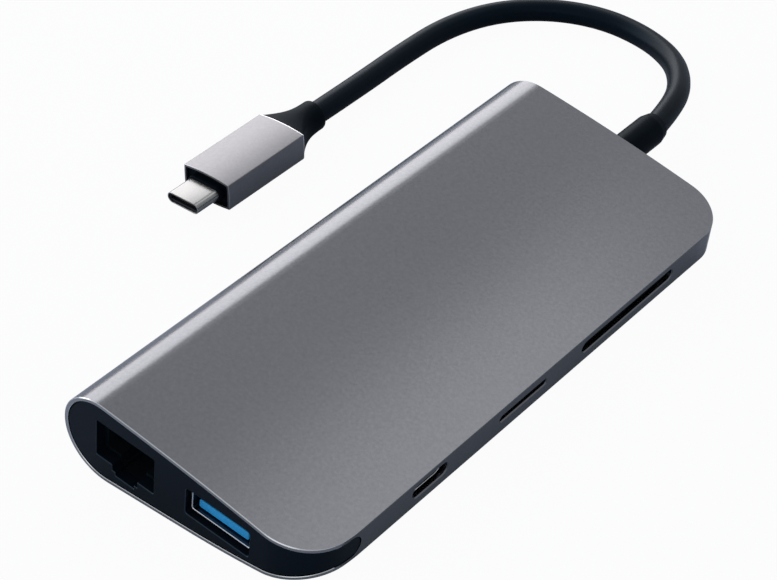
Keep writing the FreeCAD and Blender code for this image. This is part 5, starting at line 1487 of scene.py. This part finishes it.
def build_floor(base, whiteness):
    """Plane under the object. A ray that looks straight at it sees its own white, mixed by whiteness
    with the lit surface, which keeps the object's shadow."""
    material = bpy.data.materials.new("pale_floor")
    material.use_nodes = True
    tree = material.node_tree
    shader = feed(tree, tree.nodes[SHADER], Base_Color=(*base, 1.0), Roughness=0.9, Specular_IOR_Level=0.1)
    glow = add(tree, "ShaderNodeEmission", Color=(1, 1, 1, 1), Strength=1.0)
    mask = math_node(tree, "MULTIPLY", seen_mask(tree, FLOOR_IN_GLOSS), whiteness)
    mix = add(tree, "ShaderNodeMixShader", in0=mask, in1=shader.outputs[0], in2=glow.outputs[0])
    feed(tree, tree.nodes["Material Output"], Surface=mix.outputs[0])
    low = CAD_BOX[0][2] - FLOOR_DROP
    corners = [(x * FLOOR_REACH, y * FLOOR_REACH, low) for x, y in ((-1, -1), (1, -1), (1, 1), (-1, 1))]
    mesh = bpy.data.meshes.new("pale_floor")
    mesh.from_pydata(corners, [], [(0, 1, 2, 3)])
    mesh.materials.append(material)
    floor = bpy.data.objects.new("pale_floor", mesh)
    bpy.context.scene.collection.objects.link(floor)


# ================================================================ operators


class WEDGE_DOCK_OT_stage(bpy.types.Operator):
    """Make the camera, the soft lights, the dome and the pale floor"""
    bl_idname = "wedge_dock.stage"
    bl_label = "Stage"

    def execute(self, context):
        s = studio()
        context.scene.view_settings.view_transform = "Standard"
        build_camera(s.lens)
        build_world(s.dome, s.dome_tone)
        build_floor(s.floor, s.whiteness)
        for name, *place in LIGHTS:
            soft_light(name + "_light", *place, getattr(s, name + "_power"))
        return {"FINISHED"}


class WEDGE_DOCK_OT_materials(bpy.types.Operator):
    """Build the shader node groups and every procedural material"""
    bl_idname = "wedge_dock.materials"
    bl_label = "Materials"

    def execute(self, context):
        build_materials()
        return {"FINISHED"}


class WEDGE_DOCK_OT_inner_parts(bpy.types.Operator):
    """Give every part of the frame its procedural finish"""
    bl_idname = "wedge_dock.inner_parts"
    bl_label = "Inner Parts"

    def execute(self, context):
        for part in frame["record"]["subparts"]:
            dress(part["node"], part["material_slot"])
        return {"FINISHED"}


class WEDGE_DOCK_OT_sleeve(bpy.types.Operator):
    """Build the aluminium sleeve with its cut rims, wrap windows and bevelled slots"""
    bl_idname = "wedge_dock.sleeve"
    bl_label = "Sleeve"

    def execute(self, context):
        build_sleeve()
        return {"FINISHED"}


class WEDGE_DOCK_OT_end_caps(bpy.types.Operator):
    """Build the two end caps, bent round the thin side's corners, with their openings"""
    bl_idname = "wedge_dock.end_caps"
    bl_label = "End Caps"

    def execute(self, context):
        build_caps()
        return {"FINISHED"}


class WEDGE_DOCK_OT_usb_ports(bpy.types.Operator):
    """Build the two USB-A ports' steel shells and blue tongues"""
    bl_idname = "wedge_dock.usb_ports"
    bl_label = "USB-A Ports"

    def execute(self, context):
        build_usb_ports()
        return {"FINISHED"}


class WEDGE_DOCK_OT_side_port(bpy.types.Operator):
    """Build the USB-C port's steel shell in the thin side"""
    bl_idname = "wedge_dock.side_port"
    bl_label = "USB-C Port"

    def execute(self, context):
        build_side_port()
        return {"FINISHED"}


class WEDGE_DOCK_OT_card_springs(bpy.types.Operator):
    """Build the coil spring behind each card slider"""
    bl_idname = "wedge_dock.card_springs"
    bl_label = "Card Springs"

    def execute(self, context):
        build_springs()
        return {"FINISHED"}


class WEDGE_DOCK_OT_plug(bpy.types.Operator):
    """Build the plug's sleeve, face insert and steel tip"""
    bl_idname = "wedge_dock.plug"
    bl_label = "Plug"

    def execute(self, context):
        build_plug()
        return {"FINISHED"}


class WEDGE_DOCK_OT_reliefs(bpy.types.Operator):
    """Build the dock's gland and the plug's flared strain relief"""
    bl_idname = "wedge_dock.reliefs"
    bl_label = "Strain Reliefs"

    def execute(self, context):
        build_gland()
        build_relief()
        return {"FINISHED"}


class WEDGE_DOCK_OT_cable(bpy.types.Operator):
    """Lay the cable from the gland to the plug"""
    bl_idname = "wedge_dock.cable"
    bl_label = "Cable"

    def execute(self, context):
        build_cable()
        return {"FINISHED"}


OPERATORS = (
    WEDGE_DOCK_OT_stage,
    WEDGE_DOCK_OT_materials,
    WEDGE_DOCK_OT_inner_parts,
    WEDGE_DOCK_OT_sleeve,
    WEDGE_DOCK_OT_end_caps,
    WEDGE_DOCK_OT_usb_ports,
    WEDGE_DOCK_OT_side_port,
    WEDGE_DOCK_OT_card_springs,
    WEDGE_DOCK_OT_plug,
    WEDGE_DOCK_OT_reliefs,
    WEDGE_DOCK_OT_cable,
)


class WEDGE_DOCK_PT_panel(bpy.types.Panel):
    """Steps that build the dock, with its sizes, colours and lights"""
    bl_idname = "WEDGE_DOCK_PT_panel"
    bl_label = "Wedge Dock"
    bl_space_type = "VIEW_3D"
    bl_region_type = "UI"
    bl_category = "Wedge Dock"

    def draw(self, context):
        for title, group in (("Sizes", sizes()), ("Colours", colours()), ("Studio", studio())):
            box = self.layout.box()
            box.label(text=title)
            for name in group.__annotations__:
                box.prop(group, name)
        for operator in OPERATORS:
            self.layout.operator(operator.bl_idname)


CLASSES = (WedgeDockSizes, WedgeDockColours, WedgeDockStudio, *OPERATORS, WEDGE_DOCK_PT_panel)


def register():
    for cls in CLASSES:
        bpy.utils.register_class(cls)
    bpy.types.Scene.wedge_dock_sizes = PointerProperty(type=WedgeDockSizes)
    bpy.types.Scene.wedge_dock_colours = PointerProperty(type=WedgeDockColours)
    bpy.types.Scene.wedge_dock_studio = PointerProperty(type=WedgeDockStudio)


def unregister():
    del bpy.types.Scene.wedge_dock_sizes
    del bpy.types.Scene.wedge_dock_colours
    del bpy.types.Scene.wedge_dock_studio
    for cls in reversed(CLASSES):
        bpy.utils.unregister_class(cls)


def main():
    register()
    for operator in OPERATORS:
        group, name = operator.bl_idname.split(".")
        getattr(getattr(bpy.ops, group), name)()


if __name__ == "__main__":
    main()
